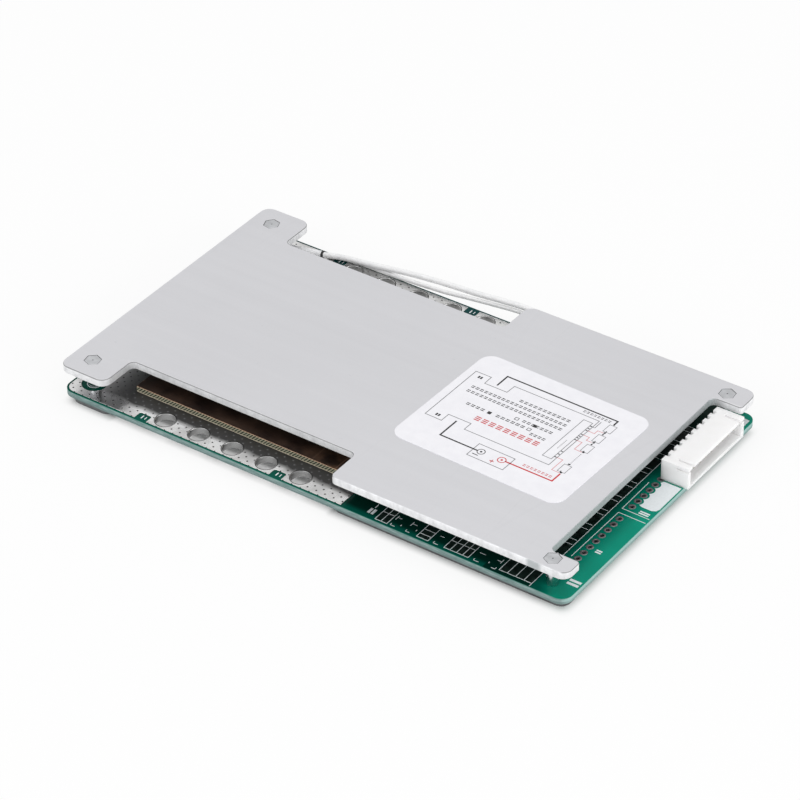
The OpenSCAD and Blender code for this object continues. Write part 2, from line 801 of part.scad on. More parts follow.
// The moulding: a box open at +X, with a notch above each pin in the rear edge. Two slots in the
// roof and a slit under its ends leave a springy tongue and a finger at each side of it.
module socket_housing() {
  notch_w = 1.1;
  notch_len = 0.9;
  slot_w = 0.6;
  slot_l = 4;
  slot_in = 1.8;
  slit_h = 0.5;
  slit_l = 3.4;
  relief = 0.1;
  mouth_x = socket_x + socket_d;
  len_y = socket_y1 - socket_y0;
  color("#f4f4f2")
    difference() {
      translate([socket_x, socket_y0, deck_z]) cube([socket_d, len_y, socket_h]);
      // The cavity that takes the plug
      translate([socket_x + socket_back, socket_y0 + socket_end_wall, deck_z + socket_wall])
        cube([socket_d, len_y - 2 * socket_end_wall, socket_h - 2 * socket_wall]);
      // Slots at both ends of the tongue
      for (y = [socket_y0 + slot_in, socket_y1 - slot_in - slot_w])
        translate([mouth_x - slot_l, y, deck_z + socket_h / 2])
          cube([slot_l + cut, slot_w, socket_h]);
      // Slit through both end walls, just under the roof
      translate([mouth_x - slit_l, socket_y0 - cut, deck_z + socket_h - socket_wall - slit_h])
        cube([slit_l + cut, len_y + 2 * cut, slit_h]);
      // Notches for the pins' vertical legs
      for (y = pins_y)
        translate([socket_x - cut, y - notch_w / 2, deck_z - cut])
          cube([notch_len + cut, notch_w, socket_h + 2 * cut]);
      // Relief over the tinned rings, of which the last open hole's reaches under the end wall
      for (y = concat([pins_y0 - pitch], pins_y))
        translate([row_x, y, deck_z - cut])
          cylinder(d = land_d + 2 * relief, h = cut + 2 * land_t, $fn = 24);
      // Square holes for the pins
      for (y = pins_y)
        translate([socket_x, y - pin_s / 2, pin_z - pin_s / 2])
          cube([socket_back + cut, pin_s, pin_s]);
    }
}

// A square pin: one leg goes down through the board, the other points at the plug
module socket_pins() {
  tip_back = 1.3;
  foot_z = board_z - pin_tail;
  color("#cfc9b8")
    for (y = pins_y)
      translate([0, y + pin_s / 2, 0])
        rotate([90, 0, 0])
          linear_extrude(pin_s)
            polygon([[row_x - pin_s / 2, foot_z], [row_x + pin_s / 2, foot_z],
                     [row_x + pin_s / 2, pin_z - pin_s / 2],
                     [socket_x + socket_d - tip_back, pin_z - pin_s / 2],
                     [socket_x + socket_d - tip_back, pin_z + pin_s / 2],
                     [row_x - pin_s / 2, pin_z + pin_s / 2]]);
}

// Solder cones on the underside of the board, each with its pin's square hole
module pin_solder() {
  cone_h = 0.9;
  color("#b5b7b8")
    for (y = pins_y)
      translate([row_x, y, board_z - land_t - cone_h])
        difference() {
          cylinder(d1 = pin_s * 1.7, d2 = land_d, h = cone_h, $fn = 24);
          translate([-pin_s / 2, -pin_s / 2, -cut]) cube([pin_s, pin_s, cone_h + 2 * cut]);
        }
}

// ---------- Temperature sensor ----------

// Point on the smooth curve through the route p, at the share t of the way from p[i] to p[i + 1]
function spline(p, i, t) =
  let (a = p[max(i - 1, 0)], b = p[i], c = p[i + 1], d = p[min(i + 2, len(p) - 1)])
  0.5 * (2 * b + (c - a) * t + (2 * a - 5 * b + 4 * c - d) * t * t
         + (3 * b - a - 3 * c + d) * t * t * t);

function route_points(p, steps) = concat(
  [for (i = [0:len(p) - 2], k = [0:steps - 1]) spline(p, i, k / steps)],
  [p[len(p) - 1]]);

function unit(v) = v / norm(v);

// A round lead swept along its route, with flat ends
module lead(route, d) {
  sides = 8;
  p = [for (q = route_points(route, 4)) q + rear_corner];
  n = len(p);
  rings = [for (i = [0:n - 1])
    let (
      along = unit(p[min(i + 1, n - 1)] - p[max(i - 1, 0)]),
      side = unit(cross(along, [0, 0, 1])),
      up = cross(side, along)
    )
    for (k = [0:sides - 1])
      p[i] + d / 2 * (cos(360 * k / sides) * side + sin(360 * k / sides) * up)];
  walls = [for (i = [0:n - 2], k = [0:sides - 1])
    let (m = (k + 1) % sides)
    [i * sides + k, i * sides + m, (i + 1) * sides + m, (i + 1) * sides + k]];
  start = [for (k = [sides - 1:-1:0]) k];
  end = [for (k = [0:sides - 1]) (n - 1) * sides + k];
  polyhedron(points = rings, faces = concat([start, end], walls), convexity = 4);
}

// Sets a cylinder of the children's along the sleeve's axis, starting s mm from its far end
module on_sleeve(s) {
  dir = unit(sleeve_to - sleeve_from);
  translate(rear_corner + sleeve_to - dir * (sleeve_l - s))
    rotate([0, 90, atan2(dir.y, dir.x)]) children();
}

module sensor_sleeve() {
  color("#ededee")
    on_sleeve(0)
      difference() {
        cylinder(d = sleeve_d, h = sleeve_l - collar_l, $fn = 24);
        translate([0, 0, sleeve_tip])
          cylinder(d = sleeve_d - 2 * sleeve_wall, h = sleeve_l, $fn = 24);
      }
}

module sensor_bead() {
  color("#2a2a2c")
    on_sleeve(sleeve_tip) cylinder(d = sleeve_d - 2 * sleeve_wall, h = bead_l, $fn = 24);
}

module sleeve_collar() {
  color("#141416")
    on_sleeve(sleeve_l - collar_l) cylinder(d = sleeve_d + 2 * collar_t, h = collar_l, $fn = 24);
}

module sensor_wide_lead() {
  color("#f0f0f0") lead(wide_route, wide_d);
}

module sensor_narrow_lead() {
  color("#e6e8e8") lead(narrow_route, narrow_d);
}

// ---------- Label ----------

module label_film() {
  color("#f5f5f8")
    translate([(body_x + bay_x) / 2 - label_left, -label_front, crown_z])
      rotate([0, 0, label_turn])
        linear_extrude(label_t)
          round_span(-label_l / 2, label_l / 2, -label_w / 2, label_w / 2, label_r);
}

circuit_board();
front_terminal_pad();
rear_terminal_pad();
lead_hole_lands();
top_heatsink();
bottom_heatsink();
clinch_standoffs();
standoff_screws();
upper_thermal_pad();
lower_thermal_pad();
mosfet_bodies();
mosfet_tabs();
mosfet_leads();
bus_strip_core();
bus_strip_copper();
shunt_resistors();
monitor_chip();
monitor_pins();
driver_chips();
balance_resistors();
balance_transistors();
filter_capacitors();
protection_diodes();
socket_housing();
socket_pins();
pin_solder();
sensor_bead();
sensor_sleeve();
sleeve_collar();
sensor_wide_lead();
sensor_narrow_lead();
label_film();
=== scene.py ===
"""Battery management board: a green circuit board clamped between two notched aluminium plates.

The model's own frame is used throughout: +X runs along the board towards the plug socket, +Y
towards the rear cable holes, +Z up, and the lower plate's underside is at height 0. Sizes are
written in millimetres, and every mesh is turned into metres as it is made.
"""

import bmesh
import bpy
import numpy as np
from mathutils import Matrix, Vector
from mathutils.geometry import tessellate_polygon


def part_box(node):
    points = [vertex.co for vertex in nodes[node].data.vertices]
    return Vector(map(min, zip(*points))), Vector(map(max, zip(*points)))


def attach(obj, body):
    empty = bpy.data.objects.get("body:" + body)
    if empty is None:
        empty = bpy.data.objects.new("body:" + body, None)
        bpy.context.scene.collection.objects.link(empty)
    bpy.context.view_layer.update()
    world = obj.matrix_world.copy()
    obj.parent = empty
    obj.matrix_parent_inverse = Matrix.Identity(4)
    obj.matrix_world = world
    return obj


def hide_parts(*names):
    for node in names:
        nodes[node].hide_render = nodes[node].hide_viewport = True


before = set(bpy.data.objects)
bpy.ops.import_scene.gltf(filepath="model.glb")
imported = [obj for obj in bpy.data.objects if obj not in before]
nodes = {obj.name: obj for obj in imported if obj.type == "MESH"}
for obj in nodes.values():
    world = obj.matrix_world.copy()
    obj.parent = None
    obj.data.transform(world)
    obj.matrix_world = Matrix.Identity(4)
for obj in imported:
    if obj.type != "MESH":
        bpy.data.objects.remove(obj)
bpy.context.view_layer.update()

MM = 0.001

# ---------------------------------------------------------------------------------------------
# Studio: a white paper sheet, a large soft lamp overhead and two soft side lamps. The camera
# stands in front of the socket end, looks down at 36 degrees and has a long lens.
# ---------------------------------------------------------------------------------------------

scene = bpy.context.scene
scene.view_settings.view_transform = "Standard"

camera_data = bpy.data.cameras.new("camera")
camera_data.sensor_width = 36.0
camera_data.lens = 161.0
camera_data.clip_start = 0.05
camera_data.clip_end = 20.0
camera = bpy.data.objects.new("camera", camera_data)
scene.collection.objects.link(camera)
camera_right = Vector((0.817123, 0.576279, -0.014591))
camera_up = Vector((-0.329953, 0.488305, 0.807892))
camera_back = Vector((0.472696, -0.655332, 0.589150))
camera.matrix_world = Matrix.Translation((0.40219, -0.56039, 0.50763)) @ Matrix(
    (camera_right, camera_up, camera_back)
).transposed().to_4x4()
scene.camera = camera


def soft_lamp(name, place, size, power):
    """A square lamp at place, in metres, that faces the middle of the board."""
    data = bpy.data.lights.new(name, "AREA")
    data.shape = "SQUARE"
    data.size = size
    data.energy = power
    lamp = bpy.data.objects.new(name, data)
    scene.collection.objects.link(lamp)
    lamp.location = place
    lamp.rotation_euler = (-Vector(place)).to_track_quat("-Z", "Y").to_euler()


soft_lamp("overhead_lamp", (-0.1, -0.1, 1.1), 1.0, 2.2)
soft_lamp("right_lamp", (1.1, -0.1, 0.28), 0.8, 4.8)
soft_lamp("front_lamp", (-0.3, -1.1, 0.4), 0.8, 2.8)

world = bpy.data.worlds.new("studio")
world.use_nodes = True
scene.world = world
sky = world.node_tree.nodes["Background"]
sky.inputs["Color"].default_value = (1.0, 1.0, 1.0, 1.0)
sky.inputs["Strength"].default_value = 0.74


class Paint:
    """A finish being mixed: a material, or a shared effect, with short calls for its nodes.

    Every pattern reads Object coordinates, which are metres in the model's frame, so a noise of
    scale s has grains about 1 / s metres wide.
    """

    def __init__(self, name, shared=False):
        if shared:
            self.tree = bpy.data.node_groups.new(name, "ShaderNodeTree")
        else:
            self.material = bpy.data.materials.new(name)
            self.material.use_nodes = True
            self.tree = self.material.node_tree
            self.shader = self.tree.nodes["Principled BSDF"]
        self.place = None
        self.axes = None

    def node(self, kind, inputs=(), **settings):
        """A node of that kind. inputs maps its sockets to values or to other nodes' outputs."""
        made = self.tree.nodes.new("ShaderNode" + kind)
        for key, value in settings.items():
            setattr(made, key, value)
        for key, value in dict(inputs).items():
            if isinstance(value, bpy.types.NodeSocket):
                self.tree.links.new(value, made.inputs[key])
            else:
                made.inputs[key].default_value = value
        return made

    def where(self, stretch=None, turn=0.0):
        """Object coordinates, scaled by stretch, then turned about Z by turn radians."""
        if self.place is None:
            self.place = self.node("TexCoord").outputs["Object"]
        if stretch is None and turn == 0.0:
            return self.place
        return self.node("Mapping", {"Vector": self.place, "Scale": stretch or (1, 1, 1),
                                     "Rotation": (0, 0, turn)}).outputs[0]

    def noise(self, scale, detail=2.0, rough=0.5, stretch=None, turn=0.0):
        """Soft noise from 0 to 1."""
        return self.node("TexNoise", {"Vector": self.where(stretch, turn), "Scale": scale,
                                      "Detail": detail, "Roughness": rough}).outputs["Fac"]

    def along(self, axis, start=0.0):
        """The way along X, Y or Z from start, in millimetres."""
        if self.axes is None:
            self.axes = self.node("SeparateXYZ", {0: self.where()}).outputs
        return self.sum("MULTIPLY_ADD", self.axes[axis], 1 / MM, -start)

    def within(self, axis, low, high, fade=0.2):
        """1 between two places along an axis, in millimetres, and 0 from fade beyond them."""
        way = self.along(axis)
        return self.sum("MULTIPLY", self.span(way, low - fade, low),
                        self.span(way, high, high + fade, 1.0, 0.0))

    def sum(self, operation, a, b=0.0, c=0.0, clamp=False):
        """One arithmetic step on numbers that change over the surface."""
        return self.node("Math", {0: a, 1: b, 2: c}, operation=operation,
                         use_clamp=clamp).outputs[0]

    def span(self, source, low, high, to_low=0.0, to_high=1.0):
        """source carried from low..high to to_low..to_high, and held at those ends."""
        return self.node("MapRange", {"Value": source, "From Min": low, "From Max": high,
                                      "To Min": to_low, "To Max": to_high}).outputs["Result"]

    def blend(self, share, first, second):
        """The first colour at share 0, the second at share 1."""
        mix = self.node("Mix", data_type="RGBA")
        for socket, value in (("Factor_Float", share), ("A_Color", first), ("B_Color", second)):
            target = next(s for s in mix.inputs if s.identifier == socket)
            if isinstance(value, bpy.types.NodeSocket):
                self.tree.links.new(value, target)
            elif socket == "Factor_Float":
                target.default_value = value
            else:
                target.default_value = (*value, 1.0)
        return next(s for s in mix.outputs if s.identifier == "Result_Color")

    def facing(self, axis):
        """The surface's own normal along X, Y or Z, from -1 to 1."""
        normal = self.node("NewGeometry").outputs["Normal"]
        return self.node("SeparateXYZ", {0: normal}).outputs[axis]

    def relief(self, height, depth, strength=1.0, under=None):
        """A bump normal for a height from 0 to 1, where 1 stands depth millimetres high."""
        inputs = {"Height": height, "Distance": depth * MM, "Strength": strength}
        if under is not None:
            inputs["Normal"] = under
        return self.node("Bump", inputs).outputs[0]

    def effect(self, group, **inputs):
        """A shared effect placed in this material."""
        made = self.node("Group", node_tree=group.tree)
        for key, value in inputs.items():
            target = made.inputs[key.replace("_", " ")]
            if isinstance(value, bpy.types.NodeSocket):
                self.tree.links.new(value, target)
            else:
                target.default_value = value
        return made.outputs

    def sockets(self, inputs, outputs):
        """Gives a shared effect its named number inputs, and returns them, and its outputs."""
        for name, value in inputs.items():
            socket = self.tree.interface.new_socket(
                name=name, in_out="INPUT", socket_type="NodeSocketFloat")
            socket.default_value = value
        for name, kind in outputs.items():
            self.tree.interface.new_socket(name=name, in_out="OUTPUT", socket_type=kind)
        self.result = self.tree.nodes.new("NodeGroupOutput")
        return self.tree.nodes.new("NodeGroupInput").outputs

    def give(self, **values):
        """Joins a shared effect's results to its outputs."""
        for key, value in values.items():
            self.tree.links.new(value, self.result.inputs[key.replace("_", " ")])

    def finish(self, colour, roughness, metallic=0.0, normal=None, **plain):
        """Sets the shader: a fixed number or colour on its own socket, or a linked pattern."""
        values = {"Base Color": colour, "Roughness": roughness, "Metallic": metallic}
        values.update({key.replace("_", " "): value for key, value in plain.items()})
        if normal is not None:
            values["Normal"] = normal
        for key, value in values.items():
            target = self.shader.inputs[key]
            if isinstance(value, bpy.types.NodeSocket):
                self.tree.links.new(value, target)
            elif target.type == "RGBA":
                target.default_value = (*value, 1.0)
            else:
                target.default_value = value
        return self.material


PAPER_HALF = 3.0       # half the sheet's side, in metres
PAPER_WHITE = 0.84     # share of the sheet's light that is plain white where it lies open
# A painted pool of light: this share of the white glow is given back under the board beside the
# lower plate's notches
PAPER_NOTCH_LIGHT = 0.3      # how much of that comes back beside the lower plate's notches


def paper_finish():
    """White paper, of which the camera, mirrors and clear things see a good part as plain
    white. Under the board, where little light falls, it stays shaded, but beside the lower
    plate's notches a painted pool of light is laid on it: some of the white glow is given
    back for the light that comes through the cable holes."""
    paper = Paint("white_paper")
    material = paper.finish((0.92, 0.92, 0.92), 0.9, Specular_IOR_Level=0.1)
    glow = paper.node("Emission")
    path = paper.node("LightPath")
    mirrored = paper.sum("ADD", path.outputs["Is Glossy Ray"], path.outputs["Is Transmission Ray"])
    seen = paper.sum("ADD", path.outputs["Is Camera Ray"], mirrored, clamp=True)
    under = paper.sum("MULTIPLY", paper.within("X", -70.0, 70.0, 3.0),
                      paper.within("Y", -39.5, 39.5, 3.0))
    plate = paper.within("Y", -34.6, 34.6, 0.8)
    # Painted pool of light under the board beside the lower plate's notches
    notch_light_pool = paper.sum("MULTIPLY", paper.within("X", -57.0, 6.0, 1.0),
                      paper.span(plate, 0.0, 1.0, PAPER_NOTCH_LIGHT, 0.0))
    under = paper.sum("SUBTRACT", under, notch_light_pool, clamp=True)
    share = paper.sum("MULTIPLY", seen, paper.span(under, 0.0, 1.0, PAPER_WHITE, 0.0))
    mix = paper.node("MixShader", {0: share, 1: paper.shader.outputs[0], 2: glow.outputs[0]})
    paper.tree.links.new(mix.outputs[0], paper.tree.nodes["Material Output"].inputs["Surface"])
    return material


paper_mesh = bpy.data.meshes.new("paper_sheet")
paper_mesh.from_pydata(
    [(-PAPER_HALF, -PAPER_HALF, 0), (PAPER_HALF, -PAPER_HALF, 0),
     (PAPER_HALF, PAPER_HALF, 0), (-PAPER_HALF, PAPER_HALF, 0)],
    [], [(0, 1, 2, 3)])
paper_mesh.materials.append(paper_finish())
paper_sheet = bpy.data.objects.new("paper_sheet", paper_mesh)
scene.collection.objects.link(paper_sheet)


# ---------------------------------------------------------------------------------------------
# Lower heatsink: a 2 mm aluminium sheet, blanked in a press, so its edge has a rolled-in upper
# rim, a smooth burnished band and a rough torn band. It is screwed up against the board.
# ---------------------------------------------------------------------------------------------

def mm_box(node):
    """A node's lowest and highest corner, in millimetres."""
    low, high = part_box(node)
    return np.array(low) / MM, np.array(high) / MM


def add_piece(name, points, faces, material, slot, sharp=35.0):
    """A piece from points in millimetres and faces: doubles are merged, faces are turned
    outwards, edges that turn more than sharp degrees stay crisp, flat faces are kept evenly
    shaded, and the piece rides on the board's one body."""
    mesh = bpy.data.meshes.new(name)
    mesh.from_pydata((np.asarray(points, float) * MM).tolist(), [], faces)
    work = bmesh.new()
    work.from_mesh(mesh)
    bmesh.ops.remove_doubles(work, verts=work.verts, dist=1e-7)
    bmesh.ops.dissolve_degenerate(work, edges=work.edges, dist=1e-8)
    bmesh.ops.recalc_face_normals(work, faces=work.faces)
    work.to_mesh(mesh)
    work.free()
    mesh.polygons.foreach_set("use_smooth", np.ones(len(mesh.polygons), bool))
    mesh.set_sharp_from_angle(angle=np.radians(sharp))
    mesh.materials.append(material)
    piece = bpy.data.objects.new(name, mesh)
    scene.collection.objects.link(piece)
    even = piece.modifiers.new("even_faces", "WEIGHTED_NORMAL")
    even.keep_sharp = True
    even.weight = 100
    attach(piece, "root")
    return piece


def rounded_loop(corners, steps=8):
    """A closed outline from square corners (x, y, radius), taken anticlockwise.

    With a and b the unit vectors from a corner to its neighbours and r its radius, the arc is
    corner + r (a + b) - r (cos t b + sin t a), for t from 0 to a quarter turn.
    """
    table = np.asarray(corners, float)
    spot, radius = table[:, :2], table[:, 2][:, None, None]
    a = np.roll(spot, 1, axis=0) - spot
    b = np.roll(spot, -1, axis=0) - spot
    a = (a / np.linalg.norm(a, axis=1)[:, None])[:, None, :]
    b = (b / np.linalg.norm(b, axis=1)[:, None])[:, None, :]
    t = np.linspace(0, np.pi / 2, steps + 1)[None, :, None]
    arcs = spot[:, None, :] + radius * (a + b) - radius * (np.cos(t) * b + np.sin(t) * a)
    return arcs.reshape(-1, 2)


def inset_rings(loop, profile):
    """Copies of an anticlockwise loop, each set inwards and lifted as the profile's (in, z) say.

    A point moves along the mean of its two edges' inward normals, divided by the cosine of half
    the turn, so that every edge moves in by the same distance.
    """
    edge = np.roll(loop, -1, axis=0) - loop
    edge /= np.linalg.norm(edge, axis=1)[:, None]
    inward = np.stack([-edge[:, 1], edge[:, 0]], axis=1)
    mean = inward + np.roll(inward, 1, axis=0)
    mean /= (1 + np.sum(inward * np.roll(inward, 1, axis=0), axis=1))[:, None]
    table = np.asarray(profile, float)
    flat = loop[None] + table[:, 0, None, None] * mean[None]
    lift = np.broadcast_to(table[:, 1, None, None], flat.shape[:2] + (1,))
    return np.concatenate([flat, lift], axis=2)


def ring_quads(rings, sides, start=0, closed=False):
    """Quads between neighbouring rings of sides points, which run anticlockwise and upwards."""
    i = np.arange(rings if closed else rings - 1)[:, None]
    j = np.arange(sides)[None, :]
    up, on = (i + 1) % rings, (j + 1) % sides
    quads = np.stack([i * sides + j, i * sides + on, up * sides + on, up * sides + j], axis=-1)
    return (quads.reshape(-1, 4) + start).tolist()


def blanked_sheet(outside, holes=()):
    """Points and faces of a sheet from rings of points that run anticlockwise, the lowest ring
    first: those round its outline, and those down each hole. Flat faces close it above and
    below, and leave the holes open. add_piece turns them all outwards."""
    walls = [outside, *holes]
    ends = np.cumsum([wall.shape[0] * wall.shape[1] for wall in walls])
    starts = [0, *ends[:-1]]
    faces = []
    for wall, start in zip(walls, starts):
        faces += ring_quads(*wall.shape[:2], start)
    for level in (0, -1):
        index = np.concatenate([
            start + (len(wall) + level) % len(wall) * wall.shape[1] + np.arange(wall.shape[1])
            for wall, start in zip(walls, starts)])
        flat = tessellate_polygon([[Vector(spot) for spot in wall[level]] for wall in walls])
        faces += index[np.array(flat)].tolist()
    return np.concatenate([wall.reshape(-1, 3) for wall in walls]), faces


def turned_rings(centre, profile, sides=24, polygon=0, turn=0.0):
    """Rings round an upright axis, one for each (radius, z) of the profile.

    With polygon flats, the radius is to the middle of a flat, and at the angle t the outline is
    at radius / cos(d), where d is the angle from t to the middle of the nearest flat.
    """
    t = np.linspace(0, 2 * np.pi, sides, endpoint=False)
    reach = np.ones(sides)
    if polygon:
        flat = np.pi / polygon
        reach = 1 / np.cos((t % (2 * flat)) - flat)
    table = np.asarray(profile, float)
    rings = np.empty((len(table), sides, 3))
    rings[..., 0] = centre[0] + table[:, :1] * reach * np.cos(t + turn)
    rings[..., 1] = centre[1] + table[:, :1] * reach * np.sin(t + turn)
    rings[..., 2] = table[:, 1:]
    return rings


TAB_X = -58.8        # right side of the left-hand tabs
BODY_X = 7.3         # left side of the wide part
NOTCH_Y = 30.7       # inner side of the cable notches
BAY_X = 63.9         # left side of the socket's bay
BAY_Y0, BAY_Y1 = -35.3, 34.3
# Painted shade, tinted green, for the aluminium edge in the bay
BAY_SHADE_TINT = (0.53, 0.56, 0.56)
OUTER_R, INNER_R = 2.6, 1.5
LOWER_TABS, LOWER_WIDE = (-40.4, 40.4), (-40.0, 40.0)   # front and rear of each part
UPPER_TABS, UPPER_WIDE = (-41.5, 41.6), (-41.0, 41.7)


def sink_corners(left, right, tabs, wide):
    """The corners of a heatsink's outline with their radii, anticlockwise from the front left.
    tabs and wide are the front and rear of its left-hand tabs and of its wide part."""
    return [
        (left, tabs[0], OUTER_R), (TAB_X, tabs[0], OUTER_R),
        (TAB_X, -NOTCH_Y, INNER_R), (BODY_X, -NOTCH_Y, INNER_R),
        (BODY_X, wide[0], INNER_R), (right, wide[0], OUTER_R),
        (right, BAY_Y0, INNER_R / 2), (BAY_X, BAY_Y0, INNER_R),
        (BAY_X, BAY_Y1, INNER_R), (right, BAY_Y1, INNER_R / 2),
        (right, wide[1], OUTER_R), (BODY_X, wide[1], OUTER_R),
        (BODY_X, NOTCH_Y, INNER_R), (TAB_X, NOTCH_Y, INNER_R),
        (TAB_X, tabs[1], OUTER_R), (left, tabs[1], OUTER_R),
    ]


mill_grain = Paint("mill_grain", shared=True)
grain_in = mill_grain.sockets({"Streak Scale": 400.0, "Speck Scale": 900.0},
                              {"Streak": "NodeSocketFloat", "Speck": "NodeSocketFloat"})
mill_grain.give(
    Streak=mill_grain.noise(grain_in["Streak Scale"], 3.0, 0.6, stretch=(0.02, 1, 1)),
    Speck=mill_grain.noise(grain_in["Speck Scale"], 4.0, 0.6))

handling = Paint("handling_marks", shared=True)
handling_in = handling.sockets({"Scale": 60.0, "Fineness": 0.012}, {"Mark": "NodeSocketFloat"})
lines = []
for stretch, turn in (((1.0, 0.12, 1.0), 0.5), ((1.0, 0.09, 1.0), -0.9)):
    cells = handling.node("TexVoronoi", {"Vector": handling.where(stretch, turn),
                                         "Scale": handling_in["Scale"], "Randomness": 1.0},
                          feature="DISTANCE_TO_EDGE")
    thin = handling.sum("LESS_THAN", cells.outputs["Distance"], handling_in["Fineness"])
    patch = handling.span(handling.noise(22.0 + 9.0 * turn, 1.0), 0.6, 0.72)
    lines.append(handling.sum("MULTIPLY", thin, patch))
handling.give(Mark=handling.sum("MAXIMUM", lines[0], lines[1]))


def aluminium_finish(name, face, edge, face_rough, top):
    """Rolled aluminium: a satin face with faint rolling streaks, specks and handling marks, and
    a blanked edge with a thin grey rolled-in rim, then a bright torn band with soft blotches,
    which scatters much of the light. In the bay the edge is painted darker and greener, a
    painted shade. The upper sheet's wide part is bright up to the face at the front.
    Undersides are painted darker, a painted shade. top is the upper face's z."""
    metal = Paint(name)
    grain = metal.effect(mill_grain)
    marks = metal.effect(handling)["Mark"]
    upright = metal.facing("Z")
    on_face = metal.span(metal.sum("ABSOLUTE", upright), 0.75, 0.95)
    cloud = metal.noise(28.0, 2.0)
    specks = metal.span(metal.noise(420.0, 2.0), 0.76, 0.8)
    shade = metal.sum("ADD", metal.span(grain["Streak"], 0.3, 0.7, -0.010, 0.010),
                      metal.span(cloud, 0.3, 0.7, -0.012, 0.012))
    worn = metal.sum("ADD", metal.sum("MULTIPLY", marks, -0.012),
                     metal.sum("MULTIPLY", specks, -0.06))
    dulled = metal.span(metal.sum("ADD", shade, worn), -0.12, 0.12)
    face_colour = metal.blend(dulled, tuple(0.88 * c for c in face), tuple(1.12 * c for c in face))
    below = metal.along("Z", top)
    blotch = metal.noise(560.0, 3.0, 0.6, stretch=(1, 1, 0.6))
    foot = metal.span(below, -1.9, -0.5, 0.16, 0.0)
    edge_shade = metal.sum("SUBTRACT", metal.span(blotch, 0.32, 0.62, 0.72, 1.0), foot)
    edge_colour = metal.blend(edge_shade, tuple(0.35 * c for c in edge), edge)
    front = metal.span(metal.along("Y"), UPPER_WIDE[0] + 0.1, UPPER_WIDE[0] + 0.4, 1.0, 0.0)
    # The dark rim is left off along the front of the wide part
    rimless_front = metal.sum("MULTIPLY", front,
                         metal.span(metal.along("X"), BODY_X - 1.3, BODY_X + 0.7))
    rim = metal.sum("SUBTRACT", metal.span(below, -0.3, -0.16), rimless_front, clamp=True)
    edge_colour = metal.blend(rim, edge_colour, tuple(0.3 * c for c in edge))
    # Painted shade: in the bay the edge is painted darker and greener
    edge_colour = metal.blend(metal.within("X", BAY_X - 1.9, BAY_X + 0.4, 1.2), edge_colour,
                              tuple(c * tint for c, tint in zip(edge, BAY_SHADE_TINT)))
    face_roughness = metal.sum("ADD", metal.span(grain["Speck"], 0.3, 0.7,
                                                 face_rough - 0.03, face_rough + 0.03),
                               metal.sum("MULTIPLY", marks, 0.03))
    roughness = metal.sum("ADD", metal.sum("MULTIPLY", face_roughness, on_face),
                          metal.sum("MULTIPLY", metal.span(blotch, 0.3, 0.7, 0.6, 0.42),
                                    metal.sum("SUBTRACT", 1.0, on_face)))
    height = metal.sum("ADD", metal.sum("MULTIPLY", metal.sum("SUBTRACT", 1.0, on_face), blotch),
                       metal.sum("MULTIPLY", grain["Speck"], 0.12))
    tone = metal.blend(on_face, edge_colour, face_colour)
    # Painted shade: faces that look down are painted darker
    tone = metal.blend(metal.span(upright, -0.9, -0.5, 0.45, 0.0), tone, (0.06, 0.06, 0.06))
    return metal.finish(tone, roughness, metal.span(on_face, 0.0, 1.0, 0.5, 1.0),
                        metal.relief(height, 0.04, 0.5))


low, high = mm_box("bottom_heatsink")
lower_profile = [(0.25, low[2]), (0.1, low[2] + 0.05), (0.0, low[2] + 0.2),
                 (0.0, high[2] - 0.1), (0.08, high[2])]
SCREW_SINK_R, SCREW_HOLE_R, SINK_DEPTH = 1.9, 1.1, 0.9
POSTS = np.array([(-66.85, -35.75), (66.1, -37.5), (66.1, 37.5), (-66.85, 35.75)])
sink_profile = [(SCREW_SINK_R, low[2]), (SCREW_SINK_R, low[2] + 0.1),
                (SCREW_HOLE_R, low[2] + 0.1 + SINK_DEPTH), (SCREW_HOLE_R, high[2])]
lower_plate = add_piece(
    "lower_plate",
    *blanked_sheet(inset_rings(rounded_loop(sink_corners(low[0], high[0], LOWER_TABS,
                                                         LOWER_WIDE)), lower_profile),
                   [turned_rings(post, sink_profile) for post in POSTS]),
    aluminium_finish("lower_aluminium", (0.30, 0.31, 0.32), (0.16, 0.165, 0.17), 0.42, high[2]),
    "heatsink_bottom")
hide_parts("bottom_heatsink")


# ---------------------------------------------------------------------------------------------
# Upper heatsink: the same blanking as the lower one, coloured much brighter. Each corner has a
# hole that is hexagonal above, for a standoff's head, and round below, for its barrel.
# ---------------------------------------------------------------------------------------------

low, high = mm_box("top_heatsink")
upper_profile = [(0.08, low[2]), (0.0, low[2] + 0.08), (0.0, high[2] - 0.26),
                 (0.02, high[2] - 0.16), (0.07, high[2] - 0.07), (0.18, high[2])]
HEX_FLAT, HEX_T, BARREL_R, SCREW_R = 1.9, 1.0, 1.5, 1.0
HEX_TURNS = np.radians([40, 32, 35, 50])
head_z = high[2] - HEX_T
hex_holes = [
    np.concatenate([turned_rings(post, [(BARREL_R, low[2]), (BARREL_R, head_z)]),
                    turned_rings(post, [(HEX_FLAT, head_z), (HEX_FLAT, high[2] - 0.03),
                                        (HEX_FLAT + 0.03, high[2])], polygon=6, turn=turn)])
    for post, turn in zip(POSTS, HEX_TURNS)]
upper_plate = add_piece(
    "upper_plate",
    *blanked_sheet(inset_rings(rounded_loop(sink_corners(low[0], high[0], UPPER_TABS,
                                                         UPPER_WIDE)), upper_profile),
                   hex_holes),
    aluminium_finish("upper_aluminium", (0.785, 0.785, 0.81), (0.90, 0.905, 0.92), 0.52, high[2]),
    "heatsink_top")
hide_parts("top_heatsink")


# ---------------------------------------------------------------------------------------------
# Standoffs and screws: self-clinching steel standoffs, pressed in flush from above, that hold
# the upper heatsink off the board. Countersunk screws come up into them through the lower
# heatsink and the board.
# ---------------------------------------------------------------------------------------------

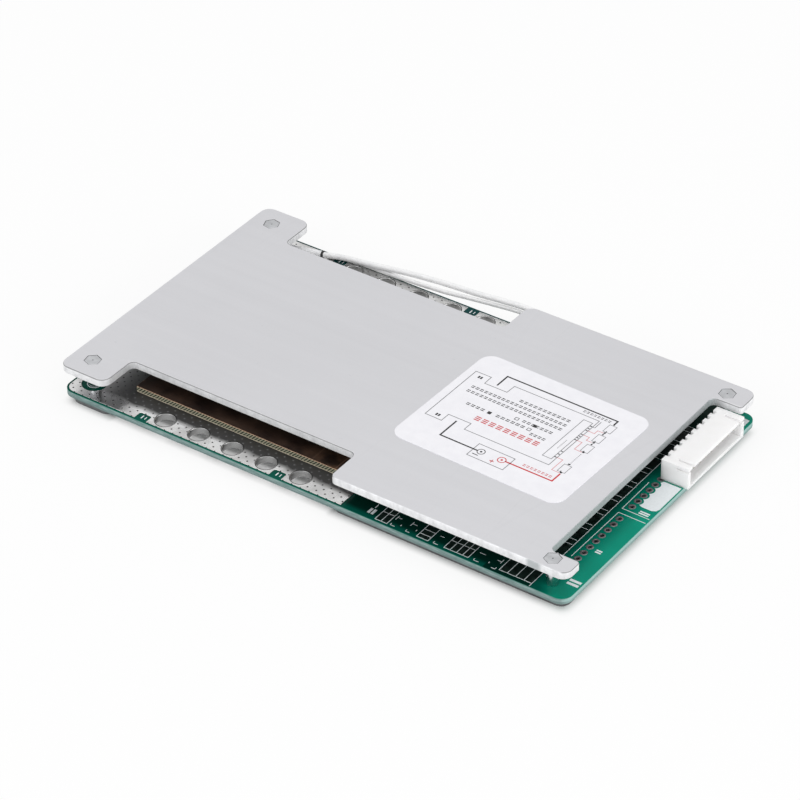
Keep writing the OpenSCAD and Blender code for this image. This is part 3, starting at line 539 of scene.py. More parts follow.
def steel_finish(name, colour, rough):
    """Zinc-plated steel, a little cloudy: satin flat faces, and turned sides that shine more."""
    steel = Paint(name)
    rings = steel.noise(2600.0, 2.0, stretch=(1, 1, 3))
    cloud = steel.noise(500.0, 3.0)
    flat = steel.span(steel.sum("ABSOLUTE", steel.facing("Z")), 0.6, 0.9, 0.35, 1.0)
    tone = steel.blend(steel.span(cloud, 0.35, 0.65), tuple(0.86 * c for c in colour), colour)
    return steel.finish(tone, steel.sum("MULTIPLY", flat,
                                        steel.span(cloud, 0.3, 0.7, rough, rough + 0.1)), 1.0,
                        steel.relief(rings, 0.01, 0.4))


def stacked(parts):
    """Several (points, faces) joined into one."""
    points, faces, start = [], [], 0
    for spots, panels in parts:
        points.append(np.asarray(spots, float))
        faces += [[corner + start for corner in panel] for panel in panels]
        start += len(spots)
    return np.concatenate(points), faces


def closed_rings(rings):
    """Points and faces of one closed skin through rings, with a flat face at both ends."""
    count, sides = rings.shape[:2]
    faces = ring_quads(count, sides)
    faces.append(list(range(sides))[::-1])
    faces.append(list(range((count - 1) * sides, count * sides)))
    return rings.reshape(-1, 3), faces


def standoff_rings(post, turn):
    """A standoff's rings: up the threaded bore, back down outside it and up to the pressed head.
    A narrow groove is left round the head, and a pinhole marks its middle."""
    board_top = mm_box("circuit_board")[1][2]
    bore = board_top + 5.0
    inner = turned_rings(post, [(0.02, bore), (SCREW_R, bore - 0.4), (SCREW_R, board_top)])
    barrel = turned_rings(post, [(BARREL_R - 0.08, board_top), (BARREL_R, board_top + 0.08),
                                 (BARREL_R, head_z)])
    head = turned_rings(post, [(HEX_FLAT - 0.01, head_z), (HEX_FLAT - 0.01, high[2] - 0.3),
                               (HEX_FLAT - 0.08, high[2] - 0.24), (HEX_FLAT - 0.1, high[2] - 0.06),
                               (HEX_FLAT - 0.16, high[2] - 0.01)], polygon=6, turn=turn)
    dimple = turned_rings(post, [(0.2, high[2] - 0.01), (0.16, high[2] - 0.05),
                                 (0.12, high[2] - 0.4), (0.02, high[2] - 0.42)])
    return closed_rings(np.concatenate([inner, barrel, head, dimple]))


standoffs = add_piece("standoffs", *stacked([standoff_rings(*pair) for pair in
                                             zip(POSTS, HEX_TURNS)]),
                      steel_finish("standoff_steel", (0.68, 0.69, 0.71), 0.44), "steel")
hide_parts("clinch_standoffs")


def softened(node, name, width, material, segments=2, angle=40.0):
    """A merged copy of a CAD node, with its edges rounded by width millimetres."""
    mesh = nodes[node].data.copy()
    mesh.name = name
    work = bmesh.new()
    work.from_mesh(mesh)
    bmesh.ops.remove_doubles(work, verts=work.verts, dist=1e-6)
    bmesh.ops.dissolve_limit(work, angle_limit=np.radians(1.0), verts=work.verts,
                             edges=work.edges)
    work.to_mesh(mesh)
    work.free()
    mesh.polygons.foreach_set("use_smooth", np.ones(len(mesh.polygons), bool))
    mesh.set_sharp_from_angle(angle=np.radians(60.0))
    mesh.materials.clear()
    mesh.materials.append(material)
    piece = bpy.data.objects.new(name, mesh)
    scene.collection.objects.link(piece)
    bevel = piece.modifiers.new("rounded_edges", "BEVEL")
    bevel.width = width * MM
    bevel.segments = segments
    bevel.limit_method = "ANGLE"
    bevel.angle_limit = np.radians(angle)
    bevel.harden_normals = True
    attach(piece, "root")
    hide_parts(node)
    return piece


softened("standoff_screws", "countersunk_screws", 0.05,
         steel_finish("screw_steel", (0.45, 0.46, 0.47), 0.34))


# ---------------------------------------------------------------------------------------------
# Circuit board: glass-fibre laminate, routed along its edge and drilled, under a glossy green
# solder mask. Under and beside the upper plate the mask is painted darker, a painted shade.
# ---------------------------------------------------------------------------------------------

def board_finish(top):
    """Glossy green mask on the faces, painted darker under and beside the upper plate and along
    its front border, a painted shade, and pale fibres on the edge, which are cut across; the
    short sides are painted paler, a painted highlight, and the edge darker towards the
    underside, a painted shade. top is the upper face's z."""
    mask = Paint("green_solder_mask")
    on_face = mask.span(mask.sum("ABSOLUTE", mask.facing("Z")), 0.6, 0.8)
    cloud = mask.noise(90.0, 3.0)
    dust = mask.span(mask.noise(2600.0, 2.0), 0.76, 0.82)
    green = mask.blend(mask.span(cloud, 0.3, 0.7), (0.002, 0.235, 0.158), (0.003, 0.290, 0.195))
    # Painted shade: between the plates the mask is painted darker than at the right end, and so is
    # its front border
    green = mask.blend(mask.span(mask.along("X"), 61.5, 70.0, 1.0, 0.0), green,
                       (0.001, 0.065, 0.045))
    green = mask.blend(mask.within("Y", -39.2, 42.0, 1.6), (0.001, 0.085, 0.060), green)
    # Painted shade: the front strip and the board left of the bay, under the upper plate, are
    # painted much darker
    plate_shade = mask.sum("MULTIPLY", mask.within("X", 10.9, 62.3, 0.3),
                         mask.within("Y", -39.4, -20.0, 1.2))
    plate_shade = mask.sum("MAXIMUM", plate_shade, mask.within("X", 50.0, 62.5, 0.3))
    green = mask.blend(plate_shade, green, (0.001, 0.026, 0.018))
    # The rear border is bluer. At the front right corner the painted shade of the front border is
    # lifted again
    green = mask.blend(mask.sum("MULTIPLY", mask.within("X", -73.0, 10.4),
                                mask.span(mask.along("Y"), 36.0, 37.0)), green,
                       (0.010, 0.060, 0.060))
    corner = mask.sum("MULTIPLY", mask.span(mask.along("X"), 64.5, 69.0),
                      mask.span(mask.along("Y"), -40.0, -37.5, 1.0, 0.0))
    green = mask.blend(corner, green, (0.003, 0.235, 0.155))
    green = mask.blend(mask.sum("MULTIPLY", dust, 0.15), green, (0.30, 0.50, 0.42))
    fibres = mask.noise(1400.0, 3.0, 0.7, stretch=(0.25, 0.25, 2.4))
    bare = mask.blend(mask.span(fibres, 0.3, 0.7), (0.12, 0.20, 0.19), (0.32, 0.42, 0.41))
    # Painted highlight: the short sides of the edge are painted paler
    bare = mask.blend(mask.span(mask.sum("ABSOLUTE", mask.facing("X")), 0.5, 0.9, 0.0, 0.6), bare,
                      (0.42, 0.64, 0.60))
    below = mask.along("Z", top)
    # Painted shade: the edge is painted darker towards the board's underside
    bare = mask.blend(mask.span(below, -1.2, -0.7, 0.45, 0.0), bare, (0.12, 0.16, 0.16))
    side = mask.blend(mask.span(below, -0.16, -0.1), bare, (0.06, 0.24, 0.19))
    rough = mask.sum("ADD", mask.sum("MULTIPLY", on_face, -0.54),
                     mask.span(fibres, 0.3, 0.7, 0.6, 0.72))
    return mask.finish(mask.blend(on_face, side, green), rough, 0.0,
                       mask.relief(mask.sum("ADD", cloud, mask.sum("MULTIPLY", fibres, 0.3)),
                                   0.05, 0.15), Specular_IOR_Level=0.05)


low, high = mm_box("circuit_board")
BOARD_TOP = high[2]
board_loop = rounded_loop([(low[0], low[1], 3.0), (high[0], low[1], 3.0),
                           (high[0], high[1], 3.0), (low[0], high[1], 3.0)])
board_rings = inset_rings(board_loop, [(0.04, low[2]), (0.0, low[2] + 0.04),
                                       (0.0, high[2] - 0.04), (0.04, high[2])])
ROW_X = 66.05
PITCH = 2.5
front_row = -9.6 - PITCH * np.arange(10)
rear_row = -4.2 + PITCH * np.arange(6)
pin_row = -4.2 + PITCH * (6 + np.arange(9))
lead_spots = [(ROW_X, y) for y in np.concatenate([front_row, rear_row, pin_row])]
CABLE_PITCH, CABLE_Y = 10.0, 38.0
cable_x = -43.4 + CABLE_PITCH * np.arange(5)
cable_spots = [(x, side * CABLE_Y) for side in (-1, 1) for x in cable_x]
CABLE_HOLE_R, LEAD_HOLE_R = 2.7, 0.6


def drilled(centre, radius, sides=24):
    """The wall of a straight hole through the board."""
    return turned_rings(centre, [(radius, low[2]), (radius, high[2])], sides)


board = add_piece(
    "board_laminate",
    *blanked_sheet(board_rings, [drilled(post, SCREW_HOLE_R) for post in POSTS]
                   + [drilled(spot, CABLE_HOLE_R, 36) for spot in cable_spots]
                   + [drilled(spot, LEAD_HOLE_R, 16) for spot in lead_spots]),
    board_finish(BOARD_TOP), "solder_mask")
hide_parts("circuit_board")


# ---------------------------------------------------------------------------------------------
# Tinned areas: thick copper left free of mask and levelled with hot air, so the solder is
# mirror-like, a little wavy and full of small filled vias. The same metal lines the cable holes.
# ---------------------------------------------------------------------------------------------

TIN_X0, TIN_X1 = -71.65, 10.4
TIN_Y0, TIN_Y1 = 41.15, 20.7
TIN_T = 0.1
RING_R = 3.2
MARK_W, MARK_LEFT, MARK_Y = 3.5, 5.2, 38.8
TIN_HOLE_R = 2.6       # the flat tin reaches this near to a cable hole's middle
VIA_STEP = 1.25        # a via's neighbours lie this far from it, both along X and along Y
VIA_CLEAR = 8.3        # square of the distance that vias keep from a cable hole's middle


def tin_finish(name, painted_reflection=False):
    """Hot-air levelled solder: bright, softly waved, frosted in patches, with filled vias at
    the points of a diagonal lattice, but none close to a cable hole. Upright walls are painted
    darker, a painted shade. With the flag set, a dark band behind the holes is a painted
    reflection of the upper plate's dark underside, and there the vias are painted pale."""
    tin = Paint(name)
    wave = tin.noise(160.0, 2.0, 0.55)
    ripple = tin.noise(900.0, 2.0, 0.5)
    patch = tin.span(tin.noise(110.0, 3.0), 0.42, 0.6)
    step = VIA_STEP * np.sqrt(2)
    lattice = tin.node("VectorMath", {0: tin.where((1000 / step, 1000 / step, 0), np.pi / 4),
                                      1: (0.5, 0.5, 0.0)}, operation="ADD").outputs[0]
    cell = tin.node("VectorMath", {0: lattice}, operation="FRACTION").outputs[0]
    away = tin.node("VectorMath", {0: cell, 1: (0.5, 0.5, 0.0)}, operation="DISTANCE")
    first, last = cable_x[0] - CABLE_PITCH / 2, cable_x[-1] + CABLE_PITCH / 2
    across = tin.sum("SUBTRACT", tin.sum("FLOORED_MODULO", tin.along("X", first), CABLE_PITCH),
                     CABLE_PITCH / 2)
    past = tin.sum("SUBTRACT", tin.sum("ABSOLUTE", tin.along("Y")), CABLE_Y)
    clear = tin.sum("GREATER_THAN", tin.sum("MULTIPLY_ADD", across, across,
                                            tin.sum("MULTIPLY", past, past)), VIA_CLEAR)
    clear = tin.sum("SUBTRACT", clear, tin.within("X", first, last, 0.1))
    clear = tin.span(clear, -1.0, 0.0)
    via = tin.sum("MULTIPLY", clear, tin.span(away.outputs["Value"], 0.11, 0.15, 1.0, 0.0))
    tone = tin.blend(patch, (0.90, 0.90, 0.895), (0.68, 0.675, 0.67))
    upright = tin.facing("Z")
    # Painted shade: upright walls, among them the linings of the holes, are painted dark
    tone = tin.blend(tin.span(tin.sum("ABSOLUTE", upright), 0.2, 0.6, 0.65, 0.0), tone,
                     (0.12, 0.12, 0.12))
    filling = (0.012, 0.012, 0.012)
    rough = tin.span(patch, 0.0, 1.0, 0.2, 0.34)
    if painted_reflection:
        # Painted reflection of the upper plate's dark underside: from a wavy line behind the holes'
        # middles, and less at the left end
        place = tin.sum("ADD", tin.along("Y"), tin.span(wave, 0.2, 0.8, -0.8, 0.8))
        dark_patch = tin.sum("MULTIPLY", tin.span(place, -37.9, -36.2), tin.span(upright, 0.3, 0.8))
        dark_patch = tin.sum("MULTIPLY", dark_patch, tin.span(tin.along("X"), -66.0, -56.0, 0.25, 1.0))
        tone = tin.blend(tin.sum("MULTIPLY", dark_patch, 0.93), tone, (0.04, 0.04, 0.04))
        rough = tin.sum("MULTIPLY_ADD", dark_patch, 0.2, rough)
        # The vias are painted pale inside the painted reflection
        filling = tin.blend(dark_patch, filling, (0.24, 0.24, 0.25))
    tone = tin.blend(tin.sum("MULTIPLY", via, 0.95), tone, filling)
    height = tin.sum("ADD", wave, tin.sum("MULTIPLY", ripple, 0.12))
    height = tin.sum("SUBTRACT", height, tin.sum("MULTIPLY", via, 0.25))
    return tin.finish(tone, tin.sum("MULTIPLY_ADD", via, 0.3, rough), 1.0,
                      tin.relief(height, 0.12, 0.4))


def tin_outline(side):
    """The upper pour's corners, anticlockwise, with two windows for the marks at its outer edge.
    side is -1 for the front row and 1 for the rear row."""
    y0, y1, mark = side * TIN_Y0, side * TIN_Y1, side * MARK_Y
    centres = (cable_x[0] - MARK_LEFT, cable_x[-1] - MARK_LEFT)
    windows = [[(x - MARK_W / 2, y0, 0.1), (x - MARK_W / 2, mark, 0.5),
                (x + MARK_W / 2, mark, 0.5), (x + MARK_W / 2, y0, 0.1)] for x in centres]
    corners = [(TIN_X0, y0, 2.45), *windows[0], *windows[1], (TIN_X1, y0, 0.15),
               (TIN_X1, y1, 0.15), (TIN_X0, y1, 0.15)]
    return corners if side < 0 else corners[::-1]


def turned_loop(centre, profile, sides):
    """Points and faces turned round an upright axis from a profile that closes on itself."""
    return (turned_rings(centre, profile, sides).reshape(-1, 3),
            ring_quads(len(profile), sides, closed=True))


def tin_parts(side, under):
    """The upper and lower pours and the linings of the cable holes, with a soft rim to each."""
    rim = [(0.0, BOARD_TOP), (0.0, BOARD_TOP + 0.04), (0.04, BOARD_TOP + TIN_T - 0.02),
           (0.14, BOARD_TOP + TIN_T)]
    spots = [(x, side * CABLE_Y) for x in cable_x]
    holes = [turned_rings(spot, [(TIN_HOLE_R, BOARD_TOP), (TIN_HOLE_R, BOARD_TOP + TIN_T)], 36)
             for spot in spots]
    post = POSTS[0 if side < 0 else 3]
    holes.append(turned_rings(post, [(RING_R, BOARD_TOP), (RING_R, BOARD_TOP + 0.05),
                                     (RING_R + 0.08, BOARD_TOP + TIN_T)], 36))
    upper = blanked_sheet(inset_rings(rounded_loop(tin_outline(side)), rim), holes)
    y0, y1 = side * TIN_Y0, side * (NOTCH_Y + INNER_R)
    left, right = TAB_X + INNER_R, BODY_X - INNER_R
    corners = [(left, y0, INNER_R), (right, y0, INNER_R), (right, y1, INNER_R),
               (left, y1, INNER_R)]
    loop = rounded_loop(corners if side < 0 else corners[::-1])
    lower = blanked_sheet(
        inset_rings(loop, [(0.12, under - TIN_T), (0.03, under - 0.05), (0.0, under)]),
        [turned_rings(spot, [(TIN_HOLE_R, under - TIN_T), (TIN_HOLE_R, under)], 36)
         for spot in spots])
    lining = [(2.66, under), (2.72, under - TIN_T + 0.02), (2.57, under - TIN_T),
              (2.5, under - 0.02), (2.5, BOARD_TOP + 0.02), (2.56, BOARD_TOP + TIN_T),
              (2.78, BOARD_TOP + TIN_T), (2.8, BOARD_TOP + 0.05), (2.66, BOARD_TOP)]
    return stacked([upper, lower, *[turned_loop(spot, lining, 36) for spot in spots]])


tinned = tin_finish("levelled_solder")
for side, node, name, metal in (
        (-1, "front_terminal_pad", "front_tinned_area", tin_finish("solder_with_painted_reflection", True)),
        (1, "rear_terminal_pad", "rear_tinned_area", tinned)):
    area = add_piece(name, *tin_parts(side, low[2]), metal, "tinned_copper")
    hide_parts(node)


def dull_solder_finish():
    """Grey, frosted solder, darkened by heat."""
    solder = Paint("dull_solder")
    frost = solder.noise(1300.0, 3.0, 0.6)
    tone = solder.blend(solder.span(frost, 0.3, 0.7), (0.13, 0.125, 0.13), (0.34, 0.33, 0.34))
    return solder.finish(tone, solder.span(frost, 0.3, 0.7, 0.42, 0.6), 0.85,
                         solder.relief(frost, 0.03, 0.5))


ring_profile = [(0.5, low[2]), (0.5, BOARD_TOP), (0.54, BOARD_TOP + 0.04),
                (0.7, BOARD_TOP + 0.05), (0.88, BOARD_TOP + 0.045), (0.95, BOARD_TOP),
                (0.6, BOARD_TOP - 0.05), (0.6, low[2] + 0.05), (0.95, low[2]),
                (0.88, low[2] - 0.045), (0.54, low[2] - 0.04)]
lands = add_piece("lead_hole_rings",
                  *stacked([turned_loop(spot, ring_profile, 20) for spot in lead_spots]),
                  dull_solder_finish(), "tinned_copper")
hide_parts("lead_hole_lands")


# ---------------------------------------------------------------------------------------------
# Silkscreen: white ink on the mask, printed as outlines round bare pads, a solid block beside
# the socket's row of holes, and rings round the standoffs' feet. Codes are left as plain bars.
# The pads between the lines are painted almost black, a painted reflection of the upper plate's
# dark underside.
# ---------------------------------------------------------------------------------------------

def ink_line(spots, width, level, thick=0.02, closed=False):
    """A printed line through spots as a thin slab with mitred corners.

    At a corner the outline lies along the mean of its two edges' normals, and half the width
    divided by the cosine of half the turn away from the middle line.
    """
    path = np.asarray(spots, float)
    step = (np.roll(path, -1, axis=0) if closed else path[1:]) - (path if closed else path[:-1])
    step /= np.linalg.norm(step, axis=1)[:, None]
    normal = np.stack([-step[:, 1], step[:, 0]], axis=1)
    before = np.roll(normal, 1, axis=0) if closed else np.concatenate([normal[:1], normal])
    after = normal if closed else np.concatenate([normal, normal[-1:]])
    reach = (before + after) / (1 + np.sum(before * after, axis=1))[:, None] * width / 2
    corner = np.stack([path - reach, path + reach, path + reach, path - reach], axis=1)
    count = len(path)
    points = np.empty((count, 4, 3))
    points[..., :2] = corner
    points[..., 2] = np.array([level, level, level + thick, level + thick])
    faces = ring_quads(count, 4, closed=closed)
    if not closed:
        faces += [[3, 2, 1, 0], [4 * count - 4 + k for k in range(4)]]
    return points.reshape(-1, 3), faces


def ink_patch(loop, level, thick=0.02):
    """A filled printed shape inside an anticlockwise loop, as a thin slab."""
    return blanked_sheet(inset_rings(np.asarray(loop, float), [(0, level), (0, level + thick)]))


def ink_ring(centre, radius, width, level, thick=0.02, sides=40):
    """A printed circle."""
    t = np.linspace(0, 2 * np.pi, sides, endpoint=False)
    loop = np.stack([centre[0] + radius * np.cos(t), centre[1] + radius * np.sin(t)], axis=1)
    return ink_line(loop, width, level, thick, closed=True)


def bars(start, end, marks, width, level, fill=0.62, thick=0.02):
    """Plain bars in a row from start to end, which stand where small codes are printed."""
    a, b = np.asarray(start, float), np.asarray(end, float)
    edge = np.arange(marks) / marks
    return [ink_line([a + (b - a) * t, a + (b - a) * (t + fill / marks)], width, level, thick)
            for t in edge]


def ink_finish(name, colour, rough=0.5, coverage=0.1):
    """Screen-printed ink, with slightly uneven coverage."""
    ink = Paint(name)
    grain = ink.noise(1800.0, 3.0)
    tone = ink.blend(ink.span(grain, 0.35, 0.7), tuple((1 - coverage) * c for c in colour),
                     colour)
    return ink.finish(tone, ink.span(grain, 0.3, 0.7, rough, rough + 0.15), 0.0,
                      ink.relief(grain, 0.01, 0.5))


INK_W = 0.18
INK_Z = BOARD_TOP
ink = [ink_ring(post, 1.75, INK_W, INK_Z) for post in POSTS[[0, 3]]]


def rule(*spots, width=INK_W):
    """Adds a printed line through spots to the board's ink."""
    ink.append(ink_line(spots, width, INK_Z))


# Outlines of the plugs that could stand on the front strip: each has its front edge's Y, the X
# of the lines that run back from there and the Y of the lines across them
BLOCK_Y1, CROSS_Y = -34.9, -37.6
blocks = ((-40.9, (19.8, 21.45, 23.1), (CROSS_Y,)), (-40.85, (31.35, 34.5), (CROSS_Y, -39.4)),
          (-40.72, (38.83, 40.5, 42.25, 43.9, 45.45), (CROSS_Y,)),
          (-40.38, (53.65, 55.85, 58.05, 60.3, 62.45), ()))
for y0, across, cuts in blocks:
    rule((across[0], BLOCK_Y1), (across[0], y0), (across[-1], y0), (across[-1], BLOCK_Y1))
    for x in across[1:-1]:
        rule((x, y0), (x, BLOCK_Y1))
    for y in cuts:
        rule((across[0], y), (across[-1], y))
rule((62.45, -41.5), (62.45, -40.38))

# Corner marks between them: upright and level dashes, hooks and dots
for x, y in ((23.9, -38.5), (28.05, -38.5), (52.65, -38.4)):
    rule((x, y), (x, y + 1.6))
for x0, x1, y in ((24.0, 25.1, -37.55), (28.15, 29.4, -37.6), (35.9, 37.0, -37.75),
                  (46.7, 48.3, -37.7), (51.5, 52.55, -37.75)):
    rule((x0, y), (x1, y))
for x0, x1, up in ((23.95, 25.2, 23.95), (28.2, 29.3, 28.2), (35.9, 37.2, 35.9),
                   (46.9, 48.3, 46.9), (51.7, 52.75, 52.75)):
    rule((x0, -40.75), (x1, -40.75))
    rule((up, -40.7), (up, -40.1))
for x, y in ((26.2, -39.6), (30.2, -39.2), (50.35, -39.5)):
    ink += bars((x - 0.1, y), (x + 0.6, y), 1, 0.5, INK_Z, 0.3)
ink += bars((16.8, -39.0), (18.8, -39.0), 2, 1.9, INK_Z, 0.7)
rule((17.55, -37.6), (17.5, -36.1), width=0.26)

# The right bay: a long line, hooks at both groups of holes, and the block before the socket
rule((62.7, -28.0), (62.7, 31.0))
rule((64.4, -27.2), (64.6, -7.7), (71.9, -7.8))
rule((64.4, 5.8), (64.5, -6.0), (71.9, -6.1))
pad_rows = np.array([-22.7, -16.1, -9.6, -3.5, 2.9, 9.3, 15.7, 22.1, 28.5])
for y in pad_rows:
    for off in (-0.95, 0.95):
        rule((60.3, y + off), (62.3, y + off))
BLOCK_R = 1.42       # the block keeps this far from the middles of its holes
bow = np.arcsin(PITCH / 2 / BLOCK_R)
scallops = [(ROW_X + BLOCK_R * np.cos(t), y + BLOCK_R * np.sin(t))
            for y in rear_row[4:0:-1] for t in np.linspace(bow, -bow, 8, endpoint=False)]
block = [(71.9, -1.6), (71.9, 7.9), (67.2, 7.9), *scallops, (68.0, -3.1), (70.6, -3.1),
         (71.5, -2.6)]
ink.append(ink_patch(block, INK_Z))
ink.append(ink_patch([(71.4, 36.0), (71.4, 39.4), (69.1, 39.6), (68.1, 39.0), (68.6, 37.4)],
                     INK_Z))
ink += bars((68.7, -23.1), (68.7, -21.7), 2, 1.5, INK_Z)
ink += bars((69.8, -5.5), (69.8, -4.1), 2, 2.6, INK_Z)
ink += bars((70.2, -36.0), (70.2, -33.5), 2, 3.0, INK_Z)

# Minus marks in the windows beside the cable holes
for side in (-1, 1):
    for x in (cable_x[0] - MARK_LEFT, cable_x[-1] - MARK_LEFT):
        rule((x - 0.2, side * 40.6), (x - 0.2, side * 39.4), width=0.3)
        rule((x + 0.8, side * 40.5), (x + 0.8, side * 39.5), width=0.22)

add_piece("silkscreen", *stacked(ink),
          ink_finish("white_silkscreen", (0.80, 0.84, 0.86), 0.5, 0.05), "label")


def painted_dark_pad_finish():
    """Pads painted almost black, a painted reflection of the upper plate's dark underside, with a
    dull shine.
    """
    pad = Paint("pad_painted_reflection")
    bloom = pad.noise(800.0, 3.0)
    tone = pad.blend(pad.span(bloom, 0.35, 0.7), (0.004, 0.008, 0.007), (0.014, 0.030, 0.024))
    return pad.finish(tone, pad.span(bloom, 0.3, 0.7, 0.3, 0.45), 0.0,
                      pad.relief(bloom, 0.01, 0.4), Specular_IOR_Level=0.3)


PAD_T = 0.01
BAY_PAD_X = (60.3, 62.4)
pads = []


def bare_pad(x0, x1, y0, y1):
    """Adds a pad between x0 and x1, y0 and y1 to the dark ones."""
    pads.append(ink_patch([(x0, y0), (x1, y0), (x1, y1), (x0, y1)], INK_Z, PAD_T))


for y0, across, cuts in blocks:
    edges = [y0, *sorted(cuts), BLOCK_Y1]
    for x0, x1 in zip(across[:-1], across[1:]):
        for ya, yb in zip(edges[:-1], edges[1:]):
            bare_pad(x0 + 0.24, x1 - 0.24, ya + 0.24, yb - 0.2)
for y in (-25.8, -19.3, -12.9, -6.5, -0.3, 6.1, 12.4, 18.9, 25.3):
    bare_pad(*BAY_PAD_X, y - 1.9, y + 1.9)
for y in pad_rows:
    bare_pad(BAY_PAD_X[0] + 0.2, BAY_PAD_X[1] - 0.2, y - 0.6, y + 0.6)
add_piece("dark_pads", *stacked(pads), painted_dark_pad_finish(), "clad_copper")


# ---------------------------------------------------------------------------------------------
# Bus strip: a sawn strip of copper-clad laminate, soldered flat along the front cable holes to
# carry the current. Its copper is painted dark, partly oxide and partly a painted reflection of
# the upper plate's dark underside, and its sawn edge shows the glass weave.
# ---------------------------------------------------------------------------------------------

def strip_core_finish():
    """Sawn woven glass: slanted bundles seen end on, cream, in dark resin."""
    weave = Paint("sawn_weave")
    grain = weave.noise(2400.0, 3.0, 0.6)
    bundles = weave.node("TexWave", {"Vector": weave.where((1, 1, -1.0)), "Scale": 740.0,
                                     "Distortion": 1.4, "Detail": 2.0, "Detail Scale": 1.0},
                         wave_type="BANDS", bands_direction="DIAGONAL").outputs["Fac"]
    tone = weave.blend(weave.span(weave.sum("ADD", bundles,
                                            weave.sum("MULTIPLY", grain, 0.5)), 0.45, 1.05),
                       (0.014, 0.018, 0.012), (0.34, 0.33, 0.23))
    return weave.finish(tone, weave.span(grain, 0.3, 0.7, 0.65, 0.85), 0.0,
                        weave.relief(bundles, 0.06, 0.5))


def clad_finish():
    """Copper on the face painted dark, partly oxide and partly a painted reflection of the upper
    plate's dark underside, browner to the right, with a pale orange upper cut edge and pale
    solder along the lower one."""
    copper = Paint("copper_oxide_and_painted_reflection")
    dark_patch = copper.noise(140.0, 4.0, 0.6)
    scratch = copper.effect(handling)["Mark"]
    # The face's dark browns: partly oxide, partly a painted reflection of the plate's underside
    dark = copper.blend(copper.span(dark_patch, 0.35, 0.68), (0.018, 0.010, 0.008),
                        (0.060, 0.032, 0.020))
    dark = copper.blend(copper.sum("MULTIPLY", copper.span(copper.along("X"), -12.0, 6.0, 0.0, 0.5),
                                   copper.span(dark_patch, 0.45, 0.6)), dark, (0.16, 0.08, 0.04))
    dark = copper.blend(copper.sum("MULTIPLY", scratch, 0.3), dark, (0.40, 0.24, 0.17))
    on_face = copper.span(copper.sum("ABSOLUTE", copper.facing("Z")), 0.75, 0.92)
    cut = copper.blend(copper.span(copper.along("Z"), 4.3, 4.6, 1.0, 0.0), (0.82, 0.54, 0.36),
                       (0.86, 0.76, 0.60))
    rough = copper.span(dark_patch, 0.35, 0.65, 0.42, 0.6)
    return copper.finish(copper.blend(on_face, cut, dark), rough, 0.4,
                         copper.relief(dark_patch, 0.02, 0.4))


softened("bus_strip_core", "strip_laminate", 0.02, strip_core_finish(), 1)
softened("bus_strip_copper", "strip_cladding", 0.05, clad_finish())


# ---------------------------------------------------------------------------------------------
# Plug socket: moulded white nylon with rounded edges, nine square tinned pins bent over at the
# top, and solder cones where the pins come out below the board.
# ---------------------------------------------------------------------------------------------

def nylon_finish():
    """Natural nylon: milky, softly glossy and faintly grained."""
    nylon = Paint("white_nylon")
    grain = nylon.noise(1500.0, 3.0, 0.55)
    cloud = nylon.noise(240.0, 2.0)
    tone = nylon.blend(nylon.span(cloud, 0.3, 0.7), (0.93, 0.92, 0.92), (0.96, 0.95, 0.96))
    return nylon.finish(tone, nylon.span(grain, 0.3, 0.7, 0.36, 0.46), 0.0,
                        nylon.relief(grain, 0.02, 0.35), Subsurface_Weight=0.7,
                        Subsurface_Scale=3 * MM, Subsurface_Radius=(1.0, 1.0, 1.0))


softened("socket_housing", "socket_body", 0.12, nylon_finish())


def pin_finish():
    """Tinned brass: bright, with draw lines along the wire."""
    pin = Paint("tinned_pin")
    drawn = pin.noise(2500.0, 2.0, 0.5, stretch=(0.2, 1, 0.2))
    tone = pin.blend(pin.span(drawn, 0.3, 0.7), (0.50, 0.48, 0.43), (0.74, 0.72, 0.66))
    return pin.finish(tone, pin.span(drawn, 0.3, 0.7, 0.2, 0.34), 1.0,
                      pin.relief(drawn, 0.02, 0.4))


def swept(path, section, first=None):
    """Points and faces of a section swept along a path.

    The section's first axis is carried from point to point: at each one it loses the part that
    lies along the path's new direction and is brought back to its length.
    """
    line = np.asarray(path, float)
    along = np.gradient(line, axis=0)
    along /= np.linalg.norm(along, axis=1)[:, None]
    side = np.asarray(first if first is not None else np.cross(along[0], (0, 0, 1)), float)
    sides = []
    for direction in along:
        side = side - np.dot(side, direction) * direction
        side /= np.linalg.norm(side)
        sides.append(side)
    across = np.array(sides)
    over = np.cross(along, across)
    shape = np.asarray(section, float)
    if shape.ndim == 2:
        shape = np.broadcast_to(shape, (len(line), *shape.shape))
    rings = line[:, None] + shape[..., :1] * across[:, None] + shape[..., 1:] * over[:, None]
    return closed_rings(rings)


PIN_HALF = 0.32
pin_low, pin_high = mm_box("socket_pins")
bend = np.linspace(0, np.pi / 2, 6)
BEND_R = 0.45
pin_top = pin_high[2] - PIN_HALF
pin_path = np.concatenate([
    [(ROW_X, 0, pin_low[2]), (ROW_X, 0, pin_low[2] + 0.25)],
    np.stack([ROW_X + BEND_R * (1 - np.cos(bend)), 0 * bend,
              pin_top - BEND_R + BEND_R * np.sin(bend)], axis=1),
    [(pin_high[0] - 0.35, 0, pin_top), (pin_high[0], 0, pin_top)]])
square = PIN_HALF * np.array([(-1, -0.75), (-0.75, -1), (0.75, -1), (1, -0.75), (1, 0.75),
                              (0.75, 1), (-0.75, 1), (-1, 0.75)])
taper = np.ones(len(pin_path))
taper[[0, -1]] = 0.55        # both ends are chamfered
pin_shape = taper[:, None, None] * square[None]
pin_points, pin_faces = swept(pin_path, pin_shape, first=(0, 1, 0))
pins = add_piece("bent_pins",
                 *stacked([(pin_points + (0, y, 0), pin_faces) for y in pin_row]),
                 pin_finish(), "leads")
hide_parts("socket_pins")

